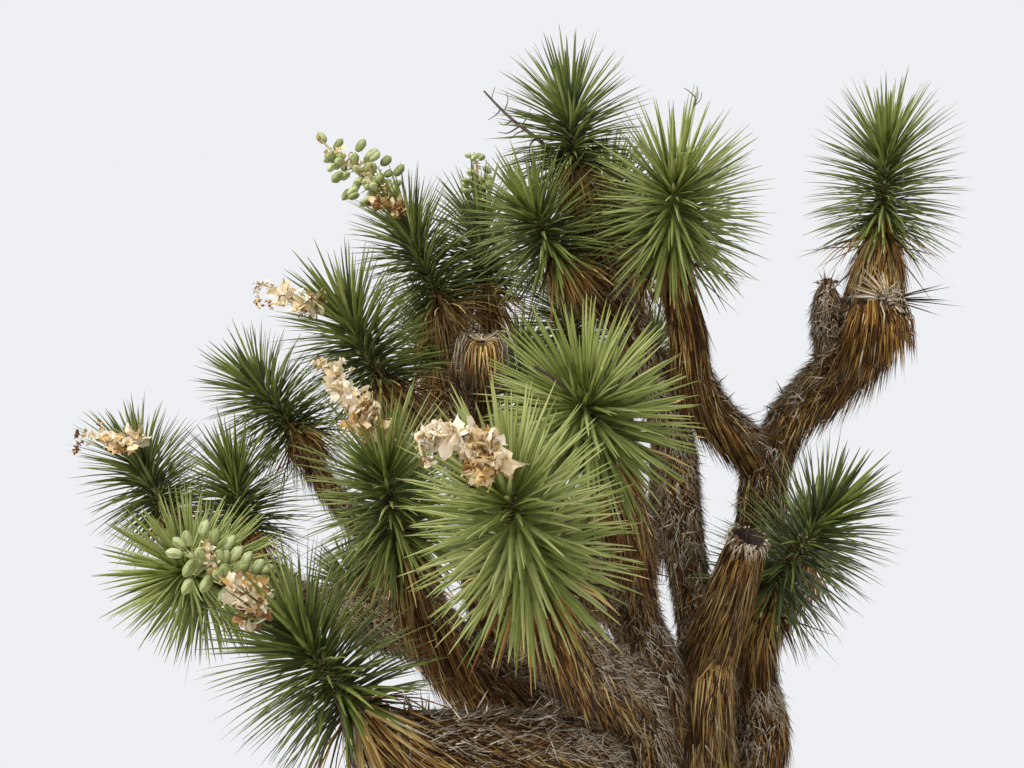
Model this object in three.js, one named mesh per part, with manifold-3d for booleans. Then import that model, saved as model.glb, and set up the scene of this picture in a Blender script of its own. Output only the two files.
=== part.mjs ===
// A Joshua tree, 4.1 m tall: a short trunk that forks low into thick boughs,
// each bough ending in a round head of dagger leaves, with a few dead stubs.
// Millimetres, +Z up. The origin is the middle of the flat cut at ground level,
// +X is to the right of the tree seen from its front, and +Y runs to its back.

import * as THREE from 'three';
import { mergeVertices } from 'three/addons/utils/BufferGeometryUtils.js';
import Module from 'manifold-3d';

const wasm = await Module();
wasm.setup();

// Driving dimensions
const LEAF = 270; // length of a grown leaf blade
const TRUNK_RADIUS = 230; // at knee height, over the bark and dead leaves
const ROOT_FLARE = 360; // radius at the ground
const FORK_HEIGHT = 1240; // where the first boughs leave the trunk
const HOLLOW_DEPTH = 110; // of the rotted pit in the broken stub
const HOLLOW_RADIUS = 52;

// A leaf stands along the stem at the tip of a head and leans back at its foot
const FURTHEST_LEAN = THREE.MathUtils.degToRad(125);
const CROWDING = 1.6; // above 1, more of the leaves spring from near the tip
const UNEVENNESS = 0.05; // of a leaf length, on the outline of a leaf mass
const UNDERSIDE = 0.3; // of a leaf length, from the foot of a head to its lowest point

// Solids that meet stop this far short of each other
const GAP = 0.35;

// Facets
const TRUNK_SIDES = 16;
const TRUNK_STEPS = 9;
const BOUGH_SIDES = 8;
const STEP_LENGTH = 230;
const MASS_AROUND = 10;
const MASS_ALONG = 6;

// The place of each joint of the skeleton is the point that lies at a given
// depth behind the trunk's middle, on the line of sight through a point of the
// front view, which is 1024 across and 768 down. The eye is at a man's height,
// 4 m in front of the trunk, and looks a little up.
const EYE = new THREE.Vector3(-520, -4000, 1600);
const FOCAL = 1150; // in points of the view
const TILT = THREE.MathUtils.degToRad(16.3);
const VIEW_MIDDLE = { across: 512, down: 384 };

function sight(across, down, depth) {
  const right = (across - VIEW_MIDDLE.across) / FOCAL;
  const up = (VIEW_MIDDLE.down - down) / FOCAL;
  const line = new THREE.Vector3(
    right,
    Math.cos(TILT) - up * Math.sin(TILT),
    Math.sin(TILT) + up * Math.cos(TILT),
  );
  return EYE.clone().addScaledVector(line, (depth - EYE.y) / line.y);
}

// One place on a limb's middle line, with the limb's radius there
const bend = (across, down, depth, radius) => ({ place: sight(across, down, depth), radius });
const at = (x, y, z, radius) => ({ place: new THREE.Vector3(x, y, z), radius });

// The limbs, from the trunk outwards: each starts inside the limb that bears it
const LIMBS = [
  {
    name: 'trunk',
    bends: [
      at(0, 0, -60, ROOT_FLARE),
      at(-4, 0, 110, TRUNK_RADIUS * 1.22),
      at(-20, 0, 420, TRUNK_RADIUS),
      at(-38, 0, 820, TRUNK_RADIUS * 0.97),
      at(-40, -10, 1240, TRUNK_RADIUS * 1.12),
      bend(655, 730, -20, TRUNK_RADIUS * 0.7),
    ],
  },
  {
    name: 'bough_right',
    bends: [
      at(20, 40, 1080, 120),
      bend(758, 750, 130, 112),
      bend(752, 660, 150, 98),
      bend(760, 540, 130, 104),
      bend(764, 450, 100, 100),
    ],
  },
  {
    name: 'bough_far_right',
    bends: [
      bend(766, 468, 100, 86),
      bend(788, 419, 100, 90),
      bend(816, 390, 95, 100),
      bend(849, 360, 90, 126),
      bend(869, 318, 95, 134),
      bend(876, 276, 105, 114),
      bend(880, 250, 105, 88),
      bend(882, 228, 100, 74),
    ],
  },
  {
    name: 'bough_upper_right',
    bends: [
      bend(762, 466, 100, 84),
      bend(742, 440, 60, 88),
      bend(714, 415, 0, 92),
      bend(692, 375, -70, 92),
      bend(686, 325, -130, 84),
      bend(676, 278, -180, 72),
      bend(668, 244, -200, 60),
    ],
  },
  {
    name: 'bough_lower_right',
    bends: [
      bend(756, 680, 130, 72),
      bend(757, 644, 60, 74),
      bend(759, 616, -20, 66),
      bend(764, 594, -80, 58),
    ],
  },
  {
    name: 'bough_centre',
    bends: [
      at(-20, 60, 1150, 130),
      bend(702, 684, 40, 126),
      bend(695, 610, 20, 86),
      bend(682, 535, 10, 92),
      bend(674, 440, 10, 88),
      bend(650, 370, 10, 84),
      bend(622, 310, 0, 82),
      bend(600, 262, -20, 74),
    ],
  },
  {
    name: 'bough_top',
    bends: [
      bend(612, 288, -10, 66),
      bend(592, 242, -90, 62),
      bend(581, 205, -190, 58),
      bend(574, 168, -250, 52),
    ],
  },
  {
    name: 'bough_top_back',
    bends: [
      bend(604, 275, 0, 60),
      bend(606, 250, 60, 58),
      bend(606, 232, 90, 54),
    ],
  },
  {
    name: 'bough_upper_middle',
    bends: [
      bend(625, 315, 0, 62),
      bend(590, 294, -100, 60),
      bend(568, 272, -180, 56),
      bend(557, 256, -220, 52),
    ],
  },
  {
    name: 'bough_mid_right',
    bends: [
      at(-90, -60, 1180, 120),
      bend(652, 690, -200, 130),
      bend(637, 608, -330, 84),
      bend(627, 530, -560, 94),
      bend(612, 474, -760, 82),
      bend(598, 436, -860, 62),
    ],
  },
  {
    name: 'bough_front',
    bends: [
      at(-60, -120, 1180, 140),
      bend(630, 704, -340, 118),
      bend(597, 676, -620, 110),
      bend(568, 646, -900, 102),
      bend(548, 613, -1070, 84),
      bend(534, 580, -1160, 62),
    ],
  },
  {
    name: 'bough_low_left',
    bends: [
      at(-120, -90, 1130, 140),
      bend(584, 764, -420, 128),
      bend(520, 750, -600, 126),
      bend(456, 746, -670, 116),
      bend(405, 739, -675, 98),
      bend(374, 726, -665, 78),
      bend(354, 708, -655, 58),
    ],
  },
  {
    name: 'bough_left',
    bends: [
      at(-150, 30, 1160, 140),
      bend(555, 724, 60, 142),
      bend(490, 681, 110, 142),
      bend(430, 643, 220, 98),
      bend(360, 614, 330, 82),
      bend(304, 596, 420, 66),
      bend(266, 566, 490, 58),
    ],
  },
  {
    name: 'bough_left_inner',
    bends: [
      bend(276, 576, 480, 46),
      bend(254, 558, 500, 46),
      bend(246, 534, 500, 42),
    ],
  },
  {
    name: 'bough_far_left',
    bends: [
      bend(284, 580, 465, 46),
      bend(232, 558, 560, 46),
      bend(194, 542, 590, 44),
      bend(170, 516, 580, 40),
    ],
  },
  {
    name: 'bough_left_low',
    bends: [
      bend(322, 604, 400, 52),
      bend(270, 602, 200, 50),
      bend(236, 592, 20, 48),
      bend(214, 580, -120, 44),
    ],
  },
  {
    name: 'bough_mid_left',
    bends: [
      bend(520, 712, 20, 120),
      bend(456, 656, -180, 122),
      bend(419, 606, -310, 90),
      bend(404, 568, -400, 72),
      bend(399, 545, -450, 58),
    ],
  },
  {
    name: 'bough_left_upper',
    bends: [
      bend(470, 665, 160, 84),
      bend(410, 580, 380, 70),
      bend(345, 505, 540, 58),
      bend(314, 464, 600, 50),
      bend(299, 436, 600, 46),
    ],
  },
  {
    name: 'bough_upper_left',
    bends: [
      at(-90, 110, 1180, 130),
      bend(520, 648, 200, 135),
      bend(487, 562, 200, 116),
      bend(484, 470, 160, 90),
      bend(470, 400, 150, 80),
      bend(456, 346, 190, 68),
      bend(444, 308, 200, 56),
    ],
  },
  {
    name: 'bough_left_mid',
    bends: [
      bend(500, 510, 180, 66),
      bend(452, 450, 40, 64),
      bend(414, 412, -100, 56),
      bend(385, 387, -170, 48),
    ],
  },
  {
    name: 'stub_drooping',
    bends: [
      bend(478, 425, 130, 58),
      bend(486, 380, 40, 54),
      bend(484, 346, -20, 36),
    ],
  },
  {
    name: 'stub_knob',
    bends: [
      bend(834, 375, 90, 68),
      bend(828, 334, 80, 76),
      bend(827, 304, 75, 73),
      bend(827, 289, 75, 56),
      bend(828, 281, 75, 30),
    ],
  },
  {
    name: 'stub_hollow',
    bends: [
      at(90, -60, 1240, 110),
      bend(704, 682, -180, 100),
      bend(718, 630, -250, 84),
      bend(735, 582, -310, 74),
      bend(749, 536, -350, 66),
    ],
  },
  {
    name: 'bough_back_top',
    bends: [
      at(-10, 120, 1120, 150),
      bend(640, 650, 520, 112),
      bend(630, 560, 760, 98),
      bend(620, 470, 860, 88),
      bend(618, 380, 880, 80),
      bend(630, 300, 900, 68),
      bend(636, 272, 900, 58),
    ],
  },
  {
    name: 'bough_back_left',
    bends: [
      bend(645, 640, 560, 92),
      bend(580, 560, 900, 84),
      bend(545, 480, 1060, 72),
      bend(530, 418, 1100, 60),
      bend(527, 398, 1105, 52),
    ],
  },
  {
    name: 'bough_back_low',
    bends: [
      bend(600, 590, 800, 70),
      bend(592, 602, 1100, 66),
      bend(590, 592, 1320, 54),
      bend(588, 572, 1380, 48),
    ],
  },
  {
    name: 'bough_back_right',
    bends: [
      bend(632, 575, 720, 70),
      bend(655, 532, 1040, 66),
      bend(660, 442, 1280, 56),
      bend(656, 384, 1340, 48),
    ],
  },
  {
    name: 'bough_upper_left_back',
    bends: [
      bend(476, 415, 160, 62),
      bend(492, 360, 290, 58),
      bend(492, 320, 350, 52),
      bend(488, 292, 365, 46),
    ],
  },
  {
    name: 'bough_back_upper',
    bends: [
      bend(620, 420, 870, 60),
      bend(596, 394, 800, 58),
      bend(580, 367, 700, 52),
      bend(574, 342, 660, 46),
    ],
  },
  {
    name: 'bough_back_mid',
    bends: [
      bend(512, 545, 200, 70),
      bend(470, 480, 520, 64),
      bend(442, 400, 760, 56),
      bend(435, 365, 800, 48),
    ],
  },
  {
    name: 'bough_left_back',
    bends: [
      bend(440, 620, 330, 62),
      bend(420, 560, 700, 60),
      bend(408, 520, 920, 52),
      bend(403, 498, 950, 46),
    ],
  },
  {
    name: 'bough_left_under',
    bends: [
      bend(405, 640, 260, 56),
      bend(372, 628, 480, 52),
      bend(360, 614, 620, 46),
      bend(356, 600, 680, 42),
    ],
  },
  {
    name: 'bough_right_back',
    bends: [
      bend(756, 640, 150, 66),
      bend(782, 610, 420, 62),
      bend(800, 578, 640, 54),
      bend(805, 560, 690, 46),
    ],
  },
];

// The heads of leaves, each on the bough of its name: where its green leaves start
// on the bough, where its growing tip is, and how long its blades are
const HEADS = [
  { name: 'top', foot: sight(574, 168, -250), tip: sight(569, 104, -320), blade: LEAF * 1.04 },
  { name: 'top_back', foot: sight(604, 240, 80), tip: sight(612, 186, 120), blade: LEAF * 0.9 },
  { name: 'upper_middle', foot: sight(557, 256, -220), tip: sight(531, 209, -350), blade: LEAF },
  { name: 'upper_right', foot: sight(671, 242, -200), tip: sight(675, 182, -460), blade: LEAF * 1.18 },
  { name: 'far_right', foot: sight(882, 228, 100), tip: sight(887, 143, -80), blade: LEAF * 1.08 },
  { name: 'lower_right', foot: sight(764, 594, -80), tip: sight(831, 508, -280), blade: LEAF },
  { name: 'mid_right', foot: sight(597, 438, -870), tip: sight(582, 398, -1050), blade: LEAF * 1.1 },
  { name: 'front', foot: sight(531, 574, -1170), tip: sight(506, 486, -1430), blade: LEAF * 1.03 },
  { name: 'mid_left', foot: sight(399, 545, -450), tip: sight(383, 463, -610), blade: LEAF * 1.05 },
  { name: 'low_left', foot: sight(354, 708, -655), tip: sight(295, 630, -740), blade: LEAF * 1.1 },
  { name: 'left_low', foot: sight(214, 580, -120), tip: sight(179, 568, -310), blade: LEAF },
  { name: 'far_left', foot: sight(170, 516, 580), tip: sight(136, 455, 570), blade: LEAF },
  { name: 'left_inner', foot: sight(246, 534, 500), tip: sight(233, 472, 490), blade: LEAF },
  { name: 'left_upper', foot: sight(299, 436, 600), tip: sight(254, 380, 580), blade: LEAF },
  { name: 'left_mid', foot: sight(385, 387, -170), tip: sight(345, 311, -200), blade: LEAF * 1.02 },
  { name: 'upper_left', foot: sight(444, 308, 200), tip: sight(406, 224, 180), blade: LEAF * 0.97 },
  { name: 'upper_left_back', foot: sight(487, 294, 360), tip: sight(478, 216, 360), blade: LEAF * 0.95 },
  { name: 'back_top', foot: sight(636, 276, 900), tip: sight(640, 222, 920), blade: LEAF },
  { name: 'back_left', foot: sight(527, 402, 1100), tip: sight(520, 350, 1150), blade: LEAF },
  { name: 'back_low', foot: sight(588, 575, 1380), tip: sight(584, 532, 1440), blade: LEAF * 0.95 },
  { name: 'back_right', foot: sight(656, 388, 1340), tip: sight(652, 340, 1360), blade: LEAF },
  { name: 'back_upper', foot: sight(574, 346, 660), tip: sight(568, 302, 620), blade: LEAF },
  { name: 'back_mid', foot: sight(435, 368, 800), tip: sight(432, 322, 830), blade: LEAF * 0.95 },
  { name: 'left_back', foot: sight(404, 502, 950), tip: sight(396, 462, 980), blade: LEAF * 0.92 },
  { name: 'left_under', foot: sight(356, 600, 680), tip: sight(353, 580, 740), blade: LEAF * 0.78 },
  { name: 'right_back', foot: sight(804, 563, 680), tip: sight(812, 526, 760), blade: LEAF * 0.8 },
];

// Solids

const bodyOf = (geometry) =>
  new wasm.Manifold(
    new wasm.Mesh({
      numProp: 3,
      vertProperties: geometry.attributes.position.array,
      triVerts: geometry.index.array,
    }),
  );

// A primitive with its seams closed, ready to be bent to shape point by point
function closed(geometry) {
  geometry.deleteAttribute('normal');
  geometry.deleteAttribute('uv');
  return mergeVertices(geometry);
}

function reshape(geometry, move) {
  const points = geometry.attributes.position;
  const point = new THREE.Vector3();
  for (let i = 0; i < points.count; i += 1) {
    point.fromBufferAttribute(points, i);
    move(point);
    points.setXYZ(i, point.x, point.y, point.z);
  }
  return geometry;
}

// What a cut leaves of a solid, without the crumbs
function largest(body) {
  const pieces = body.decompose();
  return pieces.reduce((best, piece) => (piece.volume() > best.volume() ? piece : best));
}

// A tapering limb: a cylinder bent along the curve through its places
const RISING = new THREE.Vector3(0, 0, 1);

function radiusAt(bends, along) {
  const span = Math.min(along * (bends.length - 1), bends.length - 1.001);
  const last = Math.floor(span);
  return THREE.MathUtils.lerp(bends[last].radius, bends[last + 1].radius, span - last);
}

function limbBody({ name, bends }, swell = 0) {
  const middle = new THREE.CatmullRomCurve3(bends.map(({ place }) => place));
  const isTrunk = name === 'trunk';
  const sides = isTrunk ? TRUNK_SIDES : BOUGH_SIDES;
  const steps = isTrunk ? TRUNK_STEPS : Math.max(2, Math.round(middle.getLength() / STEP_LENGTH));
  const rod = closed(new THREE.CylinderGeometry(1, 1, 1, sides, steps).rotateX(Math.PI / 2));
  const turn = new THREE.Quaternion();
  reshape(rod, (point) => {
    const along = THREE.MathUtils.clamp(point.z + 0.5, 0, 1);
    const radius = radiusAt(bends, along) + swell;
    const past = along < 0.001 ? -swell : along > 0.999 ? swell : 0;
    point.set(point.x * radius, point.y * radius, past);
    turn.setFromUnitVectors(RISING, middle.getTangent(along));
    point.applyQuaternion(turn).add(middle.getPoint(along));
  });
  return bodyOf(rod);
}

// A head's leaf mass: the surface that the leaf tips reach. The leaves along
// the axis spring from the growing tip, and the ones that lean back from the
// foot, so the mass is longer than it is wide.
function massBody({ foot, tip, blade }, swell = 0) {
  const axis = tip.clone().sub(foot).normalize();
  const turn = new THREE.Quaternion().setFromUnitVectors(new THREE.Vector3(0, 1, 0), axis);
  const ball = closed(new THREE.SphereGeometry(1, MASS_AROUND, MASS_ALONG));
  reshape(ball, (point) => {
    const lean = Math.acos(THREE.MathUtils.clamp(point.y, -1, 1));
    const fromTip = Math.min(lean / FURTHEST_LEAN, 1) ** CROWDING;
    const under = Math.max(0, (lean - FURTHEST_LEAN) / (Math.PI - FURTHEST_LEAN));
    const { x, y, z } = point;
    const bump = Math.sin(3 * x + foot.x) + Math.sin(4 * z + foot.y) + Math.sin(3 * y + foot.z);
    const reach = blade * (1 + UNEVENNESS * bump) * (1 - (1 - UNDERSIDE) * under);
    point.multiplyScalar(reach + swell).applyQuaternion(turn);
    point.add(tip.clone().lerp(foot, fromTip));
  });
  return bodyOf(ball);
}

const boughOf = ({ name }) => `bough_${name}`;
const heartOf = ({ foot, tip }) => foot.clone().lerp(tip, 0.5);

// Where two masses run into each other, a plane half way between their hearts
// parts them
function parted(head, neighbours, swell) {
  let body = massBody(head, swell);
  for (const other of neighbours) {
    const across = heartOf(head).sub(heartOf(other));
    const middle = heartOf(head).lerp(heartOf(other), 0.5);
    const normal = across.normalize();
    body = body.trimByPlane(normal.toArray(), normal.dot(middle) + GAP / 2 - swell);
  }
  return body;
}

function neighboursOf(head) {
  const body = massBody(head);
  return HEADS.filter((other) => other !== head && body.intersect(massBody(other)).volume() > 1);
}

// Masses with and without the gap round them
const masses = new Map();
for (const head of HEADS) {
  const neighbours = neighboursOf(head);
  masses.set(head, { solid: parted(head, neighbours, 0), room: parted(head, neighbours, GAP) });
}

// Limbs with and without the gap round them
const limbs = new Map();
for (const limb of LIMBS) {
  limbs.set(limb.name, { solid: limbBody(limb), room: limbBody(limb, GAP) });
}

// The broken stub is hollow at its end
function hollowOf({ bends }) {
  const { place } = bends[bends.length - 1];
  const inward = bends[bends.length - 2].place.clone().sub(place).normalize();
  const pit = {
    name: 'hollow',
    bends: [
      { place: place.clone().addScaledVector(inward, -20), radius: HOLLOW_RADIUS },
      { place: place.clone().addScaledVector(inward, HOLLOW_DEPTH), radius: HOLLOW_RADIUS * 0.6 },
    ],
  };
  return limbBody(pit);
}

// Each limb stops at the limbs before it, and at the mass of leaves it carries
const finished = [];
const before = [];
for (const limb of LIMBS) {
  let { solid } = limbs.get(limb.name);
  for (const earlier of before) solid = solid.subtract(limbs.get(earlier).room);
  for (const head of HEADS) {
    if (boughOf(head) === limb.name) solid = solid.subtract(masses.get(head).room);
  }
  if (limb.name === 'trunk') solid = solid.trimByPlane([0, 0, 1], 0);
  if (limb.name === 'stub_hollow') solid = solid.subtract(hollowOf(limb));
  finished.push({ name: limb.name, body: largest(solid), kind: 'limb' });
  before.push(limb.name);
}

// Each mass is cut round the limbs that pass through it
for (const head of HEADS) {
  let { solid } = masses.get(head);
  for (const { name } of LIMBS) {
    if (name !== boughOf(head)) solid = solid.subtract(limbs.get(name).room);
  }
  finished.push({ name: `leaves_${head.name}`, body: largest(solid), kind: 'leaves' });
}

const MATERIALS = {
  limb: new THREE.MeshStandardMaterial({ color: 0x7d6448, roughness: 0.95, metalness: 0 }),
  leaves: new THREE.MeshStandardMaterial({ color: 0x6f8a48, roughness: 0.6, metalness: 0 }),
};

function meshOf({ name, body, kind }) {
  const { vertProperties, triVerts } = body.getMesh();
  const geometry = new THREE.BufferGeometry();
  geometry.setAttribute('position', new THREE.BufferAttribute(vertProperties, 3));
  geometry.setIndex(new THREE.BufferAttribute(triVerts, 1));
  geometry.computeVertexNormals();
  const mesh = new THREE.Mesh(geometry, MATERIALS[kind]);
  mesh.name = name;
  return mesh;
}

const joshuaTree = new THREE.Group();
for (const piece of finished) joshuaTree.add(meshOf(piece));

export default joshuaTree;
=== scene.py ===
# %% [markdown]
# A Joshua tree is a yucca that grows into a tree. Its trunk and boughs carry no twigs: each
# bough ends in one round head of stiff dagger leaves, and below the head the dead leaves fold
# back and clothe the wood like thatch. This lesson builds one such tree around its packed
# model: bark first, then live blades, thatch, dead stubs, flower stalks and seed capsules.

import math

import bpy
import numpy as np
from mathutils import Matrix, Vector


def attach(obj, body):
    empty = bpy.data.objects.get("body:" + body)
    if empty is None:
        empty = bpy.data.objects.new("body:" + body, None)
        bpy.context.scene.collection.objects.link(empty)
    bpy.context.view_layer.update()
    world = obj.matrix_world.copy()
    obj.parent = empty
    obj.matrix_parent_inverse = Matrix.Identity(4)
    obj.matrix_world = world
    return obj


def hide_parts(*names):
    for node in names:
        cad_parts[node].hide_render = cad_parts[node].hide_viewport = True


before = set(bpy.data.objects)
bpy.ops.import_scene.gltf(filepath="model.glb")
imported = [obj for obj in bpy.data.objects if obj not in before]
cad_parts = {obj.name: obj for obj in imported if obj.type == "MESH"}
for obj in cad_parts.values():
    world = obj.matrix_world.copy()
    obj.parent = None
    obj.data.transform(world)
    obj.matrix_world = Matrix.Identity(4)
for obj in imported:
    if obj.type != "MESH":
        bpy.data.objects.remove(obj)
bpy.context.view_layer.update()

# %% [markdown]
# Every place on the tree is found the way a surveyor sights it: a line runs from the eye
# through a point of the front view, and the place lies on that line at a given depth behind
# the trunk. The view is 1024 across and 768 down. The camera stands at the same eye, so a
# place that is sighted at a point shows at that point.

# %% Sight lines
EYE = np.array([-0.52, -4.0, 1.6])
FOCAL = 1150.0
TILT = math.radians(16.3)
VIEW_WIDE, VIEW_HIGH = 1024, 768


def sight(across, down, depth):
    """The place seen at that point of the front view, at that depth in metres."""
    right = (across - VIEW_WIDE / 2) / FOCAL
    up = (VIEW_HIGH / 2 - down) / FOCAL
    line = np.array([
        right,
        math.cos(TILT) - up * math.sin(TILT),
        math.sin(TILT) + up * math.cos(TILT),
    ])
    return EYE + line * (depth - EYE[1]) / line[1]


def unit(rows):
    return rows / np.linalg.norm(rows, axis=-1, keepdims=True)


def bend(across, down, depth, radius):
    """One place on a limb's middle line, with the limb's radius there."""
    return np.append(sight(across, down, depth), radius)


def at(x, y, z, radius):
    """The same for a place that the front view doesn't show, told by its coordinates."""
    return np.array([x, y, z, radius])


DOWN = np.array([0.0, 0.0, -1.0])


print("trunk's fork is seen at height", sight(655, 730, 0.0)[2].round(2))

# %% [markdown]
# The skeleton is the same as the solid model's: each limb runs from inside the limb that
# bears it, through a few bends, to the foot of its head of leaves. The radius at each bend
# is measured over the thatch, so the wood itself is thinner.

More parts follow.
